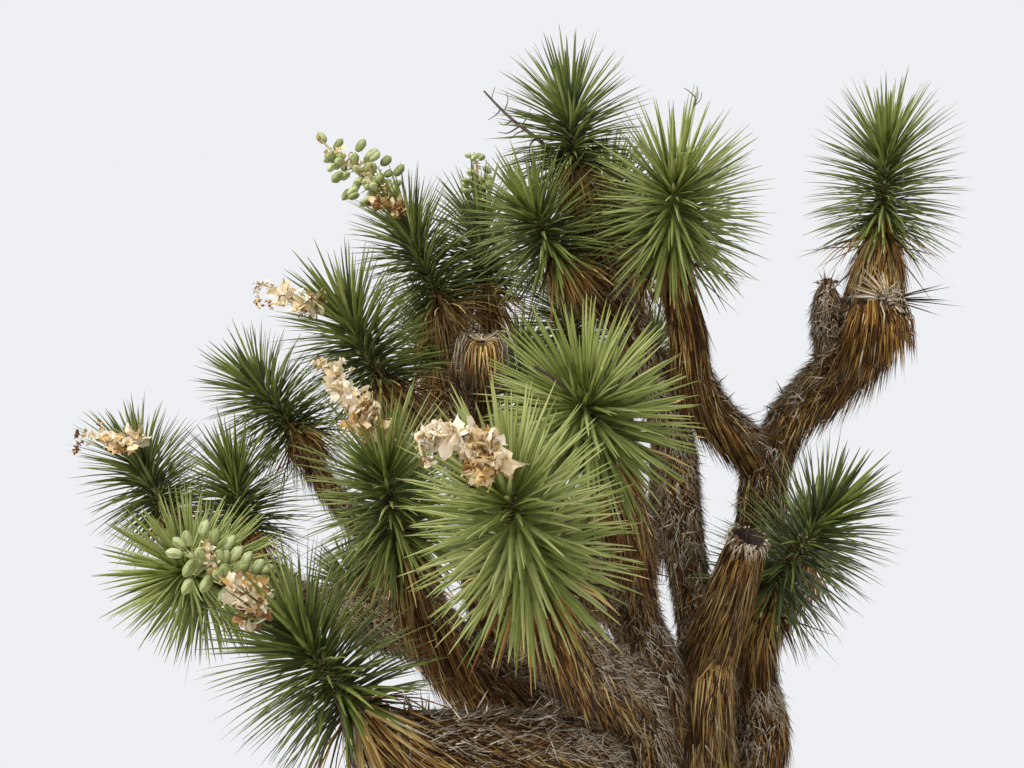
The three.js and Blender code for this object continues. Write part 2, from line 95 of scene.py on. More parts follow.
# %% The limbs
LEAF = 0.27
TRUNK_RADIUS = 0.23
ROOT_FLARE = 0.36
LIMBS = {
    "trunk": [
        at(0, 0, -0.06, ROOT_FLARE), at(-0.004, 0, 0.11, TRUNK_RADIUS * 1.22),
        at(-0.02, 0, 0.42, TRUNK_RADIUS), at(-0.038, 0, 0.82, TRUNK_RADIUS * 0.97),
        at(-0.04, -0.01, 1.24, TRUNK_RADIUS * 1.12), bend(655, 730, -0.02, TRUNK_RADIUS * 0.7),
    ],
    "bough_right": [
        at(0.02, 0.04, 1.08, 0.12), bend(758, 750, 0.13, 0.112), bend(752, 660, 0.15, 0.098),
        bend(760, 540, 0.13, 0.104), bend(764, 450, 0.1, 0.1),
    ],
    "bough_far_right": [
        bend(766, 468, 0.1, 0.086), bend(788, 419, 0.1, 0.09), bend(816, 390, 0.095, 0.1),
        bend(849, 360, 0.09, 0.126), bend(869, 318, 0.095, 0.134), bend(876, 276, 0.105, 0.114),
        bend(880, 250, 0.105, 0.088), bend(882, 228, 0.1, 0.074),
    ],
    "bough_upper_right": [
        bend(762, 466, 0.1, 0.084), bend(742, 440, 0.06, 0.088), bend(714, 415, 0, 0.092),
        bend(692, 375, -0.07, 0.092), bend(686, 325, -0.13, 0.084), bend(676, 278, -0.18, 0.072),
        bend(668, 244, -0.2, 0.06),
    ],
    "bough_lower_right": [
        bend(756, 680, 0.13, 0.072), bend(757, 644, 0.06, 0.074), bend(759, 616, -0.02, 0.066),
        bend(764, 594, -0.08, 0.058),
    ],
    "bough_centre": [
        at(-0.02, 0.06, 1.15, 0.13), bend(702, 684, 0.04, 0.126), bend(695, 610, 0.02, 0.086),
        bend(682, 535, 0.01, 0.092), bend(674, 440, 0.01, 0.088), bend(650, 370, 0.01, 0.084),
        bend(622, 310, 0, 0.082), bend(600, 262, -0.02, 0.074),
    ],
    "bough_top": [
        bend(612, 288, -0.01, 0.066), bend(592, 242, -0.09, 0.062), bend(581, 205, -0.19, 0.058),
        bend(574, 168, -0.25, 0.052),
    ],
    "bough_top_back": [
        bend(604, 275, 0, 0.06), bend(606, 250, 0.06, 0.058), bend(606, 232, 0.09, 0.054),
    ],
    "bough_upper_middle": [
        bend(625, 315, 0, 0.062), bend(590, 294, -0.1, 0.06), bend(568, 272, -0.18, 0.056),
        bend(557, 256, -0.22, 0.052),
    ],
    "bough_mid_right": [
        at(-0.09, -0.06, 1.18, 0.12), bend(652, 690, -0.2, 0.13), bend(637, 608, -0.33, 0.084),
        bend(627, 530, -0.56, 0.094), bend(612, 474, -0.76, 0.082), bend(598, 436, -0.86, 0.062),
    ],
    "bough_front": [
        at(-0.06, -0.12, 1.18, 0.14), bend(630, 704, -0.34, 0.118), bend(597, 676, -0.62, 0.11),
        bend(568, 646, -0.9, 0.102), bend(548, 613, -1.07, 0.084), bend(534, 580, -1.16, 0.062),
    ],
    "bough_low_left": [
        at(-0.12, -0.09, 1.13, 0.14), bend(584, 764, -0.42, 0.128), bend(520, 750, -0.6, 0.126),
        bend(456, 746, -0.67, 0.116), bend(405, 739, -0.675, 0.098), bend(374, 726, -0.665, 0.078),
        bend(354, 708, -0.655, 0.058),
    ],
    "bough_left": [
        at(-0.15, 0.03, 1.16, 0.14), bend(555, 724, 0.06, 0.142), bend(490, 681, 0.11, 0.142),
        bend(430, 643, 0.22, 0.098), bend(360, 614, 0.33, 0.082), bend(304, 596, 0.42, 0.066),
        bend(266, 566, 0.49, 0.058),
    ],
    "bough_left_inner": [
        bend(276, 576, 0.48, 0.046), bend(254, 558, 0.5, 0.046), bend(246, 534, 0.5, 0.042),
    ],
    "bough_far_left": [
        bend(284, 580, 0.465, 0.046), bend(232, 558, 0.56, 0.046), bend(194, 542, 0.59, 0.044),
        bend(170, 516, 0.58, 0.04),
    ],
    "bough_left_low": [
        bend(322, 604, 0.4, 0.052), bend(270, 602, 0.2, 0.05), bend(236, 592, 0.02, 0.048),
        bend(214, 580, -0.12, 0.044),
    ],
    "bough_mid_left": [
        bend(520, 712, 0.02, 0.12), bend(456, 656, -0.18, 0.122), bend(419, 606, -0.31, 0.09),
        bend(404, 568, -0.4, 0.072), bend(399, 545, -0.45, 0.058),
    ],
    "bough_left_upper": [
        bend(470, 665, 0.16, 0.084), bend(410, 580, 0.38, 0.07), bend(345, 505, 0.54, 0.058),
        bend(314, 464, 0.6, 0.05), bend(299, 436, 0.6, 0.046),
    ],
    "bough_upper_left": [
        at(-0.09, 0.11, 1.18, 0.13), bend(520, 648, 0.2, 0.135), bend(487, 562, 0.2, 0.116),
        bend(484, 470, 0.16, 0.09), bend(470, 400, 0.15, 0.08), bend(456, 346, 0.19, 0.068),
        bend(444, 308, 0.2, 0.056),
    ],
    "bough_left_mid": [
        bend(500, 510, 0.18, 0.066), bend(452, 450, 0.04, 0.064), bend(414, 412, -0.1, 0.056),
        bend(385, 387, -0.17, 0.048),
    ],
    "bough_back_top": [
        at(-0.01, 0.12, 1.12, 0.15), bend(640, 650, 0.52, 0.112), bend(630, 560, 0.76, 0.098),
        bend(620, 470, 0.86, 0.088), bend(618, 380, 0.88, 0.08), bend(630, 300, 0.9, 0.068),
        bend(636, 272, 0.9, 0.058),
    ],
    "bough_back_left": [
        bend(645, 640, 0.56, 0.092), bend(580, 560, 0.9, 0.084), bend(545, 480, 1.06, 0.072),
        bend(530, 418, 1.1, 0.06), bend(527, 398, 1.105, 0.052),
    ],
    "bough_back_low": [
        bend(600, 590, 0.8, 0.07), bend(592, 602, 1.1, 0.066), bend(590, 592, 1.32, 0.054),
        bend(588, 572, 1.38, 0.048),
    ],
    "bough_back_right": [
        bend(632, 575, 0.72, 0.07), bend(655, 532, 1.04, 0.066), bend(660, 442, 1.28, 0.056),
        bend(656, 384, 1.34, 0.048),
    ],
    "bough_upper_left_back": [
        bend(476, 415, 0.16, 0.062), bend(492, 360, 0.29, 0.058), bend(492, 320, 0.35, 0.052),
        bend(488, 292, 0.365, 0.046),
    ],
    "bough_back_upper": [
        bend(620, 420, 0.87, 0.06), bend(596, 394, 0.8, 0.058), bend(580, 367, 0.7, 0.052),
        bend(574, 342, 0.66, 0.046),
    ],
    "bough_back_mid": [
        bend(512, 545, 0.2, 0.07), bend(470, 480, 0.52, 0.064), bend(442, 400, 0.76, 0.056),
        bend(435, 365, 0.8, 0.048),
    ],
    "bough_left_back": [
        bend(440, 620, 0.33, 0.062), bend(420, 560, 0.7, 0.06), bend(408, 520, 0.92, 0.052),
        bend(403, 498, 0.95, 0.046),
    ],
    "bough_left_under": [
        bend(405, 640, 0.26, 0.056), bend(372, 628, 0.48, 0.052), bend(360, 614, 0.62, 0.046),
        bend(356, 600, 0.68, 0.042),
    ],
    "bough_right_back": [
        bend(756, 640, 0.15, 0.066), bend(782, 610, 0.42, 0.062), bend(800, 578, 0.64, 0.054),
        bend(805, 560, 0.69, 0.046),
    ],
    "stub_drooping": [
        bend(478, 425, 0.13, 0.058), bend(486, 380, 0.04, 0.054), bend(484, 346, -0.02, 0.036),
    ],
    "stub_knob": [
        bend(834, 375, 0.09, 0.068), bend(828, 334, 0.08, 0.076), bend(827, 304, 0.075, 0.073),
        bend(827, 289, 0.075, 0.056), bend(828, 281, 0.075, 0.03),
    ],
    "stub_hollow": [
        at(0.09, -0.06, 1.24, 0.11), bend(704, 682, -0.18, 0.1), bend(718, 630, -0.25, 0.084),
        bend(735, 582, -0.31, 0.074), bend(749, 536, -0.35, 0.066),
    ],
}
print("limbs", len(LIMBS), "bends", sum(len(bends) for bends in LIMBS.values()))

# %% [markdown]
# A head is told by three things: the foot, where its green leaves start on the bough, its
# growing tip, and the length of its blades. A fourth number says how pale its blades are
# painted, partly the head's own tone and partly painted light: heads whose tips face the open
# sky are painted pale sage, and the shaded ones are painted deep green as painted shade.

# %% The heads
HEADS = {
    "top": (sight(574, 168, -0.25), sight(569, 104, -0.32), 1.04, 0.45),
    "top_back": (sight(604, 240, 0.08), sight(612, 186, 0.12), 0.9, 0.5),
    "upper_middle": (sight(557, 256, -0.22), sight(531, 209, -0.35), 1.0, 0.5),
    "upper_right": (sight(671, 242, -0.2), sight(675, 182, -0.46), 1.18, 0.72),
    "far_right": (sight(882, 228, 0.1), sight(887, 143, -0.08), 1.08, 0.55),
    "lower_right": (sight(764, 594, -0.08), sight(831, 508, -0.28), 1.0, 0.25),
    "mid_right": (sight(597, 438, -0.87), sight(582, 398, -1.05), 1.1, 0.65),
    "front": (sight(531, 574, -1.17), sight(506, 486, -1.43), 1.03, 0.8),
    "mid_left": (sight(399, 545, -0.45), sight(383, 463, -0.61), 1.05, 0.6),
    "low_left": (sight(354, 708, -0.655), sight(295, 630, -0.74), 1.1, 0.4),
    "left_low": (sight(214, 580, -0.12), sight(179, 568, -0.31), 1.0, 0.7),
    "far_left": (sight(170, 516, 0.58), sight(136, 455, 0.57), 1.0, 0.4),
    "left_inner": (sight(246, 534, 0.5), sight(233, 472, 0.49), 1.0, 0.4),
    "left_upper": (sight(299, 436, 0.6), sight(254, 380, 0.58), 1.0, 0.4),
    "left_mid": (sight(385, 387, -0.17), sight(345, 311, -0.2), 1.02, 0.4),
    "upper_left": (sight(444, 308, 0.2), sight(406, 224, 0.18), 0.97, 0.4),
    "upper_left_back": (sight(487, 294, 0.36), sight(478, 216, 0.36), 0.95, 0.4),
    "back_top": (sight(636, 276, 0.9), sight(640, 222, 0.92), 1.0, 0.4),
    "back_left": (sight(527, 402, 1.1), sight(520, 350, 1.15), 1.0, 0.4),
    "back_low": (sight(588, 575, 1.38), sight(584, 532, 1.44), 0.95, 0.4),
    "back_right": (sight(656, 388, 1.34), sight(652, 340, 1.36), 1.0, 0.4),
    "back_upper": (sight(574, 346, 0.66), sight(568, 302, 0.62), 1.0, 0.4),
    "back_mid": (sight(435, 368, 0.8), sight(432, 322, 0.83), 0.95, 0.4),
    "left_back": (sight(404, 502, 0.95), sight(396, 462, 0.98), 0.92, 0.35),
    "left_under": (sight(356, 600, 0.68), sight(353, 580, 0.74), 0.78, 0.3),
    "right_back": (sight(804, 563, 0.68), sight(812, 526, 0.76), 0.8, 0.35),
}
print("heads", len(HEADS))

# %% [markdown]
# A limb bends smoothly through its places. A curve through points, each span leaning on its
# neighbours, gives that, and walking along it in even steps makes it easy to place bark and
# leaves by real distance.

# %% Walk along a limb
STEM_AT_FOOT = 0.034
STEM_AT_TIP = 0.022
THATCH = 0.022
THIN_THATCH = 0.006


def smooth_line(bends, per_span=12):
    """Places and radii along the curve through the bends, with the distance run."""
    knots = np.array(bends, dtype=float)
    knots = np.vstack([2 * knots[0] - knots[1], knots, 2 * knots[-1] - knots[-2]])
    rows = []
    for i in range(1, len(knots) - 2):
        a, b, c, d = knots[i - 1:i + 3]
        for t in np.arange(per_span) / per_span:
            rows.append(0.5 * (
                2 * b + (c - a) * t + (2 * a - 5 * b + 4 * c - d) * t**2
                + (3 * b - a - 3 * c + d) * t**3
            ))
    rows.append(knots[-2])
    line = np.array(rows)
    steps = np.linalg.norm(np.diff(line[:, :3], axis=0), axis=1)
    return line, np.concatenate([[0], np.cumsum(steps)])


def walk(line, run, distance):
    """Place, radius and heading at each distance along a line."""
    column = [np.interp(distance, run, line[:, k]) for k in range(4)]
    place = np.stack(column[:3], axis=-1)
    slopes = np.gradient(line[:, :3], axis=0)
    heading = unit(np.stack([np.interp(distance, run, slopes[:, k]) for k in range(3)], axis=-1))
    return place, column[3], heading


def around(heading, turn):
    """The direction out of a stem at each turn about its heading."""
    least = np.eye(3)[np.argmin(np.abs(heading), axis=-1)]
    side = unit(np.cross(heading, least))
    other = np.cross(heading, side)
    return side * np.cos(turn)[:, None] + other * np.sin(turn)[:, None]


def head_of(name):
    return HEADS.get(name.removeprefix("bough_"))


def stem_bends(name):
    """A limb's bends. A bough's run on through its head to the growing tip."""
    bends = list(LIMBS[name])
    if head_of(name):
        foot, tip = head_of(name)[:2]
        bends[-1] = np.append(foot, STEM_AT_FOOT + THATCH)
        bends.append(np.append(tip, STEM_AT_TIP + THATCH))
    return bends


LINES = {name: smooth_line(stem_bends(name)) for name in LIMBS}
# How far along its limb each head's foot is, or the end of a limb that bears no head
FOOT_AT = {
    name: run[-1] - (np.linalg.norm(head_of(name)[1] - head_of(name)[0]) if head_of(name) else 0)
    for name, (line, run) in LINES.items()
}
print("metres of limb", round(sum(FOOT_AT.values()), 1))

# %% [markdown]
# The same few moves come back in every step: select one object alone, finish a modifier, put
# a piece on the tree's body, or give a piece its finishes. The frame's own nodes come in
# selected, so everything is deselected before an operator works.

# %% Small helpers
def nothing_selected():
    bpy.ops.object.select_all(action="DESELECT")


def mode(name):
    bpy.ops.object.mode_set(mode=name)


def only(thing):
    nothing_selected()
    thing.select_set(True)
    bpy.context.view_layer.objects.active = thing


def apply_modifier(thing, kind, **settings):
    only(thing)
    modifier = thing.modifiers.new(kind.lower(), kind)
    for key, value in settings.items():
        setattr(modifier, key, value)
    bpy.ops.object.modifier_apply(modifier=modifier.name)


def triangles(thing):
    return sum(len(face.vertices) - 2 for face in thing.data.polygons)


def settle(piece):
    """The piece belongs to the tree: it is put on the tree's body, and its triangles are printed."""
    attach(piece, "root")
    print(piece.name, "triangles", triangles(piece))


def finished_with(piece, *finishes):
    """The piece with these finishes alone."""
    piece.data.materials.clear()
    for finish in finishes:
        piece.data.materials.append(finish)


nothing_selected()
print("nothing is selected")

# %% [markdown]
# Each finish is a real one: furrowed bark, a waxy live blade, a dry blade, papery flower
# parts, the green rind of a capsule. A hex colour as seen on a screen is turned to the linear
# light that shaders count in. One function adds a node with its settings and its links.

# %% Finishes
def linear(hex_colour):
    channels = [int(hex_colour[i:i + 2], 16) / 255 for i in (1, 3, 5)]
    light = [c / 12.92 if c <= 0.04045 else ((c + 0.055) / 1.055) ** 2.4 for c in channels]
    return (*light, 1.0)


def add(tree, kind, inputs, **settings):
    """Adds a node. An input is given a value, or the output of another node."""
    made = tree.nodes.new(kind)
    for key, value in settings.items():
        setattr(made, key, value)
    for key, value in inputs.items():
        if isinstance(value, bpy.types.NodeSocket):
            tree.links.new(value, made.inputs[key])
        else:
            made.inputs[key].default_value = value
    return made


def empty_finish(name):
    """A new material, its emptied tree and the node that gives object coordinates."""
    material = bpy.data.materials.new(name)
    material.use_nodes = True
    tree = material.node_tree
    tree.nodes.clear()
    return material, tree, add(tree, "ShaderNodeTexCoord", {})


def finish_of(name, colour, roughness, grain_mm, relief, ior=1.45):
    """One plain colour whose gloss and relief vary with a grain of that size."""
    material, tree, where = empty_finish(name)
    grain = add(tree, "ShaderNodeTexNoise", {
        "Vector": where.outputs["Object"], "Scale": 1000 / grain_mm, "Detail": 3.0,
    })
    gloss = add(tree, "ShaderNodeMapRange", {
        "Value": grain.outputs["Fac"], "To Min": roughness - 0.1, "To Max": roughness + 0.1,
    })
    bump = add(tree, "ShaderNodeBump", {
        "Height": grain.outputs["Fac"], "Strength": relief, "Distance": grain_mm / 4000,
    })
    shader = add(tree, "ShaderNodeBsdfPrincipled", {
        "Base Color": linear(colour), "Roughness": gloss.outputs["Result"], "IOR": ior,
        "Normal": bump.outputs["Normal"],
    })
    add(tree, "ShaderNodeOutputMaterial", {"Surface": shader.outputs["BSDF"]})
    return material


def finishes_of(kind, looks, grain_mm, relief, ior=1.45):
    """The finishes of one kind, which differ in colour and roughness."""
    return [
        finish_of(f"{kind}, {look}", colour, roughness, grain_mm, relief, ior)
        for look, colour, roughness in looks
    ]


# Dead blades bleach from straw to brown to grey as they age. Their air pores lower the IOR
DRY = finishes_of("dry blade", (
    ("straw", "#dfc07c", 0.75), ("golden brown", "#b58a46", 0.78), ("rust brown", "#82531f", 0.8),
    ("dark brown", "#3f2606", 0.85), ("weathered tan", "#b2966a", 0.85),
    ("weathered grey", "#e0d4bf", 0.88), ("slate brown", "#725c40", 0.88),
), 8, 0.4, 1.35)
STRAW, GOLDEN, RUST, DARK, TAN, GREY, SLATE = range(len(DRY))
# Live blades have a thin coat of wax, which gives the sage ones a dull sheen
LIVE = finishes_of("waxy blade", (
    ("deep green", "#3e491d", 0.5), ("leaf green", "#5a672a", 0.5), ("grass green", "#79853a", 0.48),
    ("sage", "#959e50", 0.46), ("pale sage", "#b0b56e", 0.46),
), 12, 0.2)
PALEST = len(LIVE) - 1
LIVE += [
    finish_of("blade foot, pale rind", "#b9b77c", 0.6, 10, 0.3),
    finish_of("blade spine, brown horn", "#6b4a2c", 0.5, 6, 0.3),
    DRY[STRAW], DRY[GOLDEN], DRY[RUST], DRY[DARK],
]
FOOT_RIND, SPINE_HORN, DYING_STRAW, DYING_GOLDEN, DYING_RUST, DYING_DARK = range(5, 11)
print("finishes", len(bpy.data.materials))

# %% [markdown]
# Bark wraps the boughs in one skin, with no seam at the forks, and the trunk in another. Tubes
# laid along the limbs are joined, and a voxel remesh melts them into that skin. Making the
# tubes first keeps each limb at the size it was measured at.

# %% Tubes along the limbs
PER_TUBE = 26
TRUNK_VOXEL = 0.011
BOUGH_VOXEL = 0.016
HOLLOW_STUB = "stub_hollow"
HOLLOW_DEPTH = 0.11
# The stub's break runs down towards the viewer
BREAK_SLOPE = 0.42
# The stub's tube ends below its pit, and the pit's own walls go on from there
CUT_BACK = HOLLOW_DEPTH + 0.02
line, run = LINES[HOLLOW_STUB]
(rim,), (rim_radius,), (rim_axis,) = walk(line, run, np.array([run[-1]]))
rim_front = unit(np.cross(rim_axis, np.cross(EYE - rim, rim_axis)))


def wood_radius(name, radius):
    """The wood's radius under the thatch, which is thin on the trunk and the broken stub."""
    if name in ("trunk", HOLLOW_STUB):
        return radius - THIN_THATCH
    return np.maximum(radius - THATCH, 0.6 * radius)


def tube(name, place, thickness, fine=5):
    """A closed tube through the places, with a radius at each."""
    nothing_selected()
    bpy.ops.curve.primitive_bezier_curve_add()
    made = bpy.context.object
    mode("EDIT")
    bpy.ops.curve.select_all(action="SELECT")
    bpy.ops.curve.subdivide(number_cuts=len(place) - 2)
    bpy.ops.curve.spline_type_set(type="POLY")
    mode("OBJECT")
    for point, where, thick in zip(made.data.splines[0].points, place, thickness):
        point.co = (*where, 1.0)
        point.radius = thick
    made.data.dimensions = "3D"
    made.data.bevel_depth = 1.0
    made.data.bevel_resolution = fine
    made.data.use_fill_caps = True
    only(made)
    bpy.ops.object.convert(target="MESH")
    made.name = f"tube_{name}"
    return made


def limb_tube(name):
    line, run = LINES[name]
    length = run[-1] - (CUT_BACK if name == HOLLOW_STUB else 0)
    place, radius, _ = walk(line, run, np.linspace(0, length, PER_TUBE))
    return tube(name, place, wood_radius(name, radius))


def join_all(name, pieces):
    nothing_selected()
    for piece in pieces:
        piece.select_set(True)
    bpy.context.view_layer.objects.active = pieces[0]
    if len(pieces) > 1:
        bpy.ops.object.join()
    made = bpy.context.object
    made.name = name
    return made


def skin(name, limbs, voxel):
    """One closed skin round the tubes of several limbs, with no seam at the forks."""
    made = join_all(name, [limb_tube(limb) for limb in limbs])
    apply_modifier(made, "REMESH", mode="VOXEL", voxel_size=voxel)
    apply_modifier(made, "SMOOTH", factor=0.5, iterations=5)
    return made


BOUGHS = [name for name in LIMBS if name != "trunk"]
trunk_bark = skin("trunk_bark", ["trunk"], TRUNK_VOXEL)
bough_bark = skin("bough_bark", BOUGHS, BOUGH_VOXEL)
print("skin triangles", triangles(trunk_bark), triangles(bough_bark))

# %% [markdown]
# Old bark splits into small corky plates with furrows between them, taller than they are wide.
# Displacement presses them in: a cell pattern is read through an empty that is stretched
# upwards, which makes the cells tall. The trunk's foot is then cut flat where it meets the
# ground.

# %% Furrows and plates
PLATE = 0.034
PLATE_STRETCH = 3.6
TRUNK_FURROW = 0.02
BOUGH_FURROW = 0.01
LUMP = 0.16
LUMP_HEIGHT = 0.03
stretch = bpy.data.objects.new("plate stretch", None)
bpy.context.scene.collection.objects.link(stretch)
stretch.scale = (1, 1, PLATE_STRETCH)
bpy.context.view_layer.update()
plates = bpy.data.textures.new("bark plates", "VORONOI")
plates.noise_scale = PLATE
plates.distance_metric = "DISTANCE"
plates.weight_1, plates.weight_2 = -1.0, 1.0
lumps = bpy.data.textures.new("bark lumps", "CLOUDS")
lumps.noise_scale = LUMP
for piece, depth in ((trunk_bark, TRUNK_FURROW), (bough_bark, BOUGH_FURROW)):
    apply_modifier(
        piece, "DISPLACE", texture=lumps, texture_coords="LOCAL", strength=LUMP_HEIGHT,
        mid_level=0.5,
    )
    apply_modifier(
        piece, "DISPLACE", texture=plates, texture_coords="OBJECT",
        texture_coords_object=stretch, strength=depth, mid_level=0.35,
    )
bpy.data.objects.remove(stretch)
only(trunk_bark)
mode("EDIT")
bpy.ops.mesh.select_all(action="SELECT")
bpy.ops.mesh.bisect(plane_co=(0, 0, 0), plane_no=(0, 0, 1), use_fill=True, clear_inner=True)
mode("OBJECT")
for piece in (trunk_bark, bough_bark):
    only(piece)
    bpy.ops.object.shade_smooth()
print("bark from", min(v.co.z for v in trunk_bark.data.vertices), "up")

# %% [markdown]
# The bark's colour runs from grey-brown on the raised plates to dark umber in the furrows.
# Its pattern has cells of the same size, stretched about as much and bent a little by a noise.
# It is read from object coordinates, so it stays put when the view moves.

# %% Finish of the bark
CELL_SQUASH = 0.28
SWAY = (0.05, 0.05, 0.05)
# The sizes in mm of the furrows' bends and of the weathered patches, 22 and 14 of them to a
# metre, and of the fibres
SWAY_MM, WEATHER_MM, FIBRE_MM = 1000 / 22, 1000 / 14, 6.25
# Sockets of one node that share a name are told by their number
MIX_FROM, MIX_TO, MIXED = 6, 7, 2
VALUE, TIMES, PLUS = 0, 1, 2


def bark_finish(name, furrow_hex, low_hex, high_hex):
    material, tree, where = empty_finish(name)
    sway = add(tree, "ShaderNodeTexNoise", {
        "Vector": where.outputs["Object"], "Scale": 1000 / SWAY_MM, "Detail": 3.0,
    })
    swayed = add(tree, "ShaderNodeVectorMath", {
        VALUE: sway.outputs["Color"], TIMES: SWAY, PLUS: where.outputs["Object"],
    }, operation="MULTIPLY_ADD")
    tall = add(tree, "ShaderNodeMapping", {
        "Vector": swayed.outputs["Vector"], "Scale": (1.0, 1.0, CELL_SQUASH),
    })
    cells = add(tree, "ShaderNodeTexVoronoi", {
        "Vector": tall.outputs["Vector"], "Scale": 1 / PLATE, "Randomness": 1.0,
    }, feature="DISTANCE_TO_EDGE")
    weather = add(tree, "ShaderNodeTexNoise", {
        "Vector": where.outputs["Object"], "Scale": 1000 / WEATHER_MM, "Detail": 8.0,
        "Roughness": 0.7,
    })
    fibre = add(tree, "ShaderNodeTexNoise", {
        "Vector": tall.outputs["Vector"], "Scale": 1000 / FIBRE_MM, "Detail": 4.0,
    })
    furrow = add(tree, "ShaderNodeMapRange", {
        "Value": cells.outputs["Distance"], "From Min": 0.0, "From Max": 0.3,
    })
    plate = add(tree, "ShaderNodeMix", {
        "Factor": weather.outputs["Fac"], MIX_FROM: linear(low_hex), MIX_TO: linear(high_hex),
    }, data_type="RGBA")
    colour = add(tree, "ShaderNodeMix", {
        "Factor": furrow.outputs["Result"], MIX_FROM: linear(furrow_hex),
        MIX_TO: plate.outputs[MIXED],
    }, data_type="RGBA")
    rough = add(tree, "ShaderNodeMapRange", {
        "Value": weather.outputs["Fac"], "To Min": 0.8, "To Max": 1.0,
    })
    deep = add(tree, "ShaderNodeBump", {
        "Height": furrow.outputs["Result"], "Strength": 0.8, "Distance": 0.008,
    })
    fine = add(tree, "ShaderNodeBump", {
        "Height": fibre.outputs["Fac"], "Strength": 0.6, "Distance": 0.003,
        "Normal": deep.outputs["Normal"],
    })
    shader = add(tree, "ShaderNodeBsdfPrincipled", {
        "Base Color": colour.outputs[MIXED], "Roughness": rough.outputs["Result"],
        "Normal": fine.outputs["Normal"], "IOR": 1.4,
    })
    add(tree, "ShaderNodeOutputMaterial", {"Surface": shader.outputs["BSDF"]})
    return material


for piece, finish, nodes in (
    (trunk_bark, bark_finish("furrowed yucca bark", "#4f3f30", "#6f5c48", "#968571"), ["trunk"]),
    (bough_bark, bark_finish("fibrous young bark", "#281806", "#4a3318", "#735838"), BOUGHS),
):
    finished_with(piece, finish)
    settle(piece)
    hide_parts(*nodes)

# %% [markdown]
# One blade is modelled and copied thousands of times, so it has few faces: a three-sided
# spike, flat above and keeled below, cut across at a few heights so that it can swell, taper
# and bend. It is one unit long and one unit wide, and every copy gives it its own size.

# %% Model a blade
def select_where(made, chosen):
    """Edit mode with the chosen points alone selected."""
    mode("EDIT")
    bpy.ops.mesh.select_all(action="DESELECT")
    mode("OBJECT")
    for vertex in made.data.vertices:
        vertex.select = chosen(vertex.co)
    mode("EDIT")


def select_ring(made, height):
    select_where(made, lambda place: abs(place.z - height) < 1e-4)


def spike(name, rows, thickness):
    """A three-sided spike with a cross row at each height, scaled to that width."""
    nothing_selected()
    bpy.ops.mesh.primitive_cone_add(
        vertices=3, radius1=0.577, radius2=0, depth=1, end_fill_type="NOTHING",
        location=(0, 0, 0.5), rotation=(0, 0, math.pi),
    )
    made = bpy.context.object
    made.name = name
    bpy.ops.object.transform_apply()
    mode("EDIT")
    for height, _ in rows[1:]:
        bpy.ops.mesh.select_all(action="SELECT")
        bpy.ops.mesh.bisect(plane_co=(0, 0, height), plane_no=(0, 0, 1))
    for height, width in rows:
        select_ring(made, height)
        factor = width / (1 - height)
        bpy.ops.transform.resize(
            value=(factor, factor * thickness, 1), center_override=(0, 0, height)
        )
    mode("OBJECT")
    apply_modifier(made, "TRIANGULATE")
    return made


def pattern_of(made):
    """The points and faces of a modelled piece, which is then put away."""
    points = np.array([vertex.co[:] for vertex in made.data.vertices])
    faces = np.array([face.vertices[:] for face in made.data.polygons])
    bpy.data.objects.remove(made)
    height = points[faces][:, :, 2].mean(axis=1)
    return {"points": points, "faces": faces, "height": height, "shade": np.zeros(len(faces), int)}


live_blade = pattern_of(spike(
    "live_blade", [(0, 1.6), (0.08, 1.05), (0.35, 1.0), (0.63, 0.72), (0.86, 0.34), (0.95, 0.15)], 0.4
))
dry_blade = pattern_of(spike("dry_blade", [(0, 1.2), (0.45, 1.0)], 0.35))
dry_scale = pattern_of(spike("dry_scale", [(0, 1.0)], 0.4))
dry_ribbon = pattern_of(spike(
    "dry_ribbon", [(0, 0.8), (0.2, 1.0), (0.4, 1.0), (0.6, 0.9), (0.8, 0.6)], 0.3
))
for pattern in (live_blade, dry_blade, dry_scale, dry_ribbon):
    print("faces of a blade", len(pattern["faces"]))

# %% [markdown]
# A spray is laid in one go: every copy starts at its own base, leaves it in one direction
# and ends in another, so it bows between them. All copies are worked out together as arrays
# and joined into one mesh, and each face is dealt a finish by its copy and its height.

# %% Lay a spray
def bowed(pattern, base, start, end, up, length, width):
    """Points of one bent copy of the pattern for each base."""
    x, y, z = pattern["points"].T
    z = z[None, :, None]
    start, end, up = start[:, None], end[:, None], up[:, None]
    middle = base[:, None] + length[:, None, None] * (start * (z - z**2 / 2) + end * z**2 / 2)
    along = unit(start * (1 - z) + end * z)
    across = unit(np.cross(along, up))
    above = np.cross(across, along)
    wide = width[:, None, None]
    return middle + across * x[None, :, None] * wide + above * y[None, :, None] * wide


def mesh_of(name, points, faces, finish, finishes):
    """One joined mesh from the points and faces of all copies."""
    mesh = bpy.data.meshes.new(name)
    mesh.vertices.add(len(points))
    mesh.vertices.foreach_set("co", points.astype(np.float32).ravel())
    mesh.loops.add(faces.size)
    mesh.loops.foreach_set("vertex_index", faces.astype(np.int32).ravel())
    mesh.polygons.add(len(faces))
    mesh.polygons.foreach_set("loop_start", np.arange(0, faces.size, 3, dtype=np.int32))
    mesh.polygons.foreach_set("material_index", finish.astype(np.int32))
    for material in finishes:
        mesh.materials.append(material)
    mesh.update(calc_edges=True)
    piece = bpy.data.objects.new(name, mesh)
    bpy.context.scene.collection.objects.link(piece)
    return piece


def joined(pattern, copies):
    """Points and faces of all copies, one after the other."""
    count, each = copies.shape[:2]
    offsets = np.arange(count)[:, None, None] * each
    return copies.reshape(-1, 3), (pattern["faces"][None] + offsets).reshape(-1, 3)


print("copies are laid as arrays")

# %% [markdown]
# Leaves leave the stem one after another, each turned by the golden angle from the last, so
# none hides the next. The youngest stand along the stem at the tip, the middle ones stand
# straight out, and the oldest lean back: that is what makes a head round.

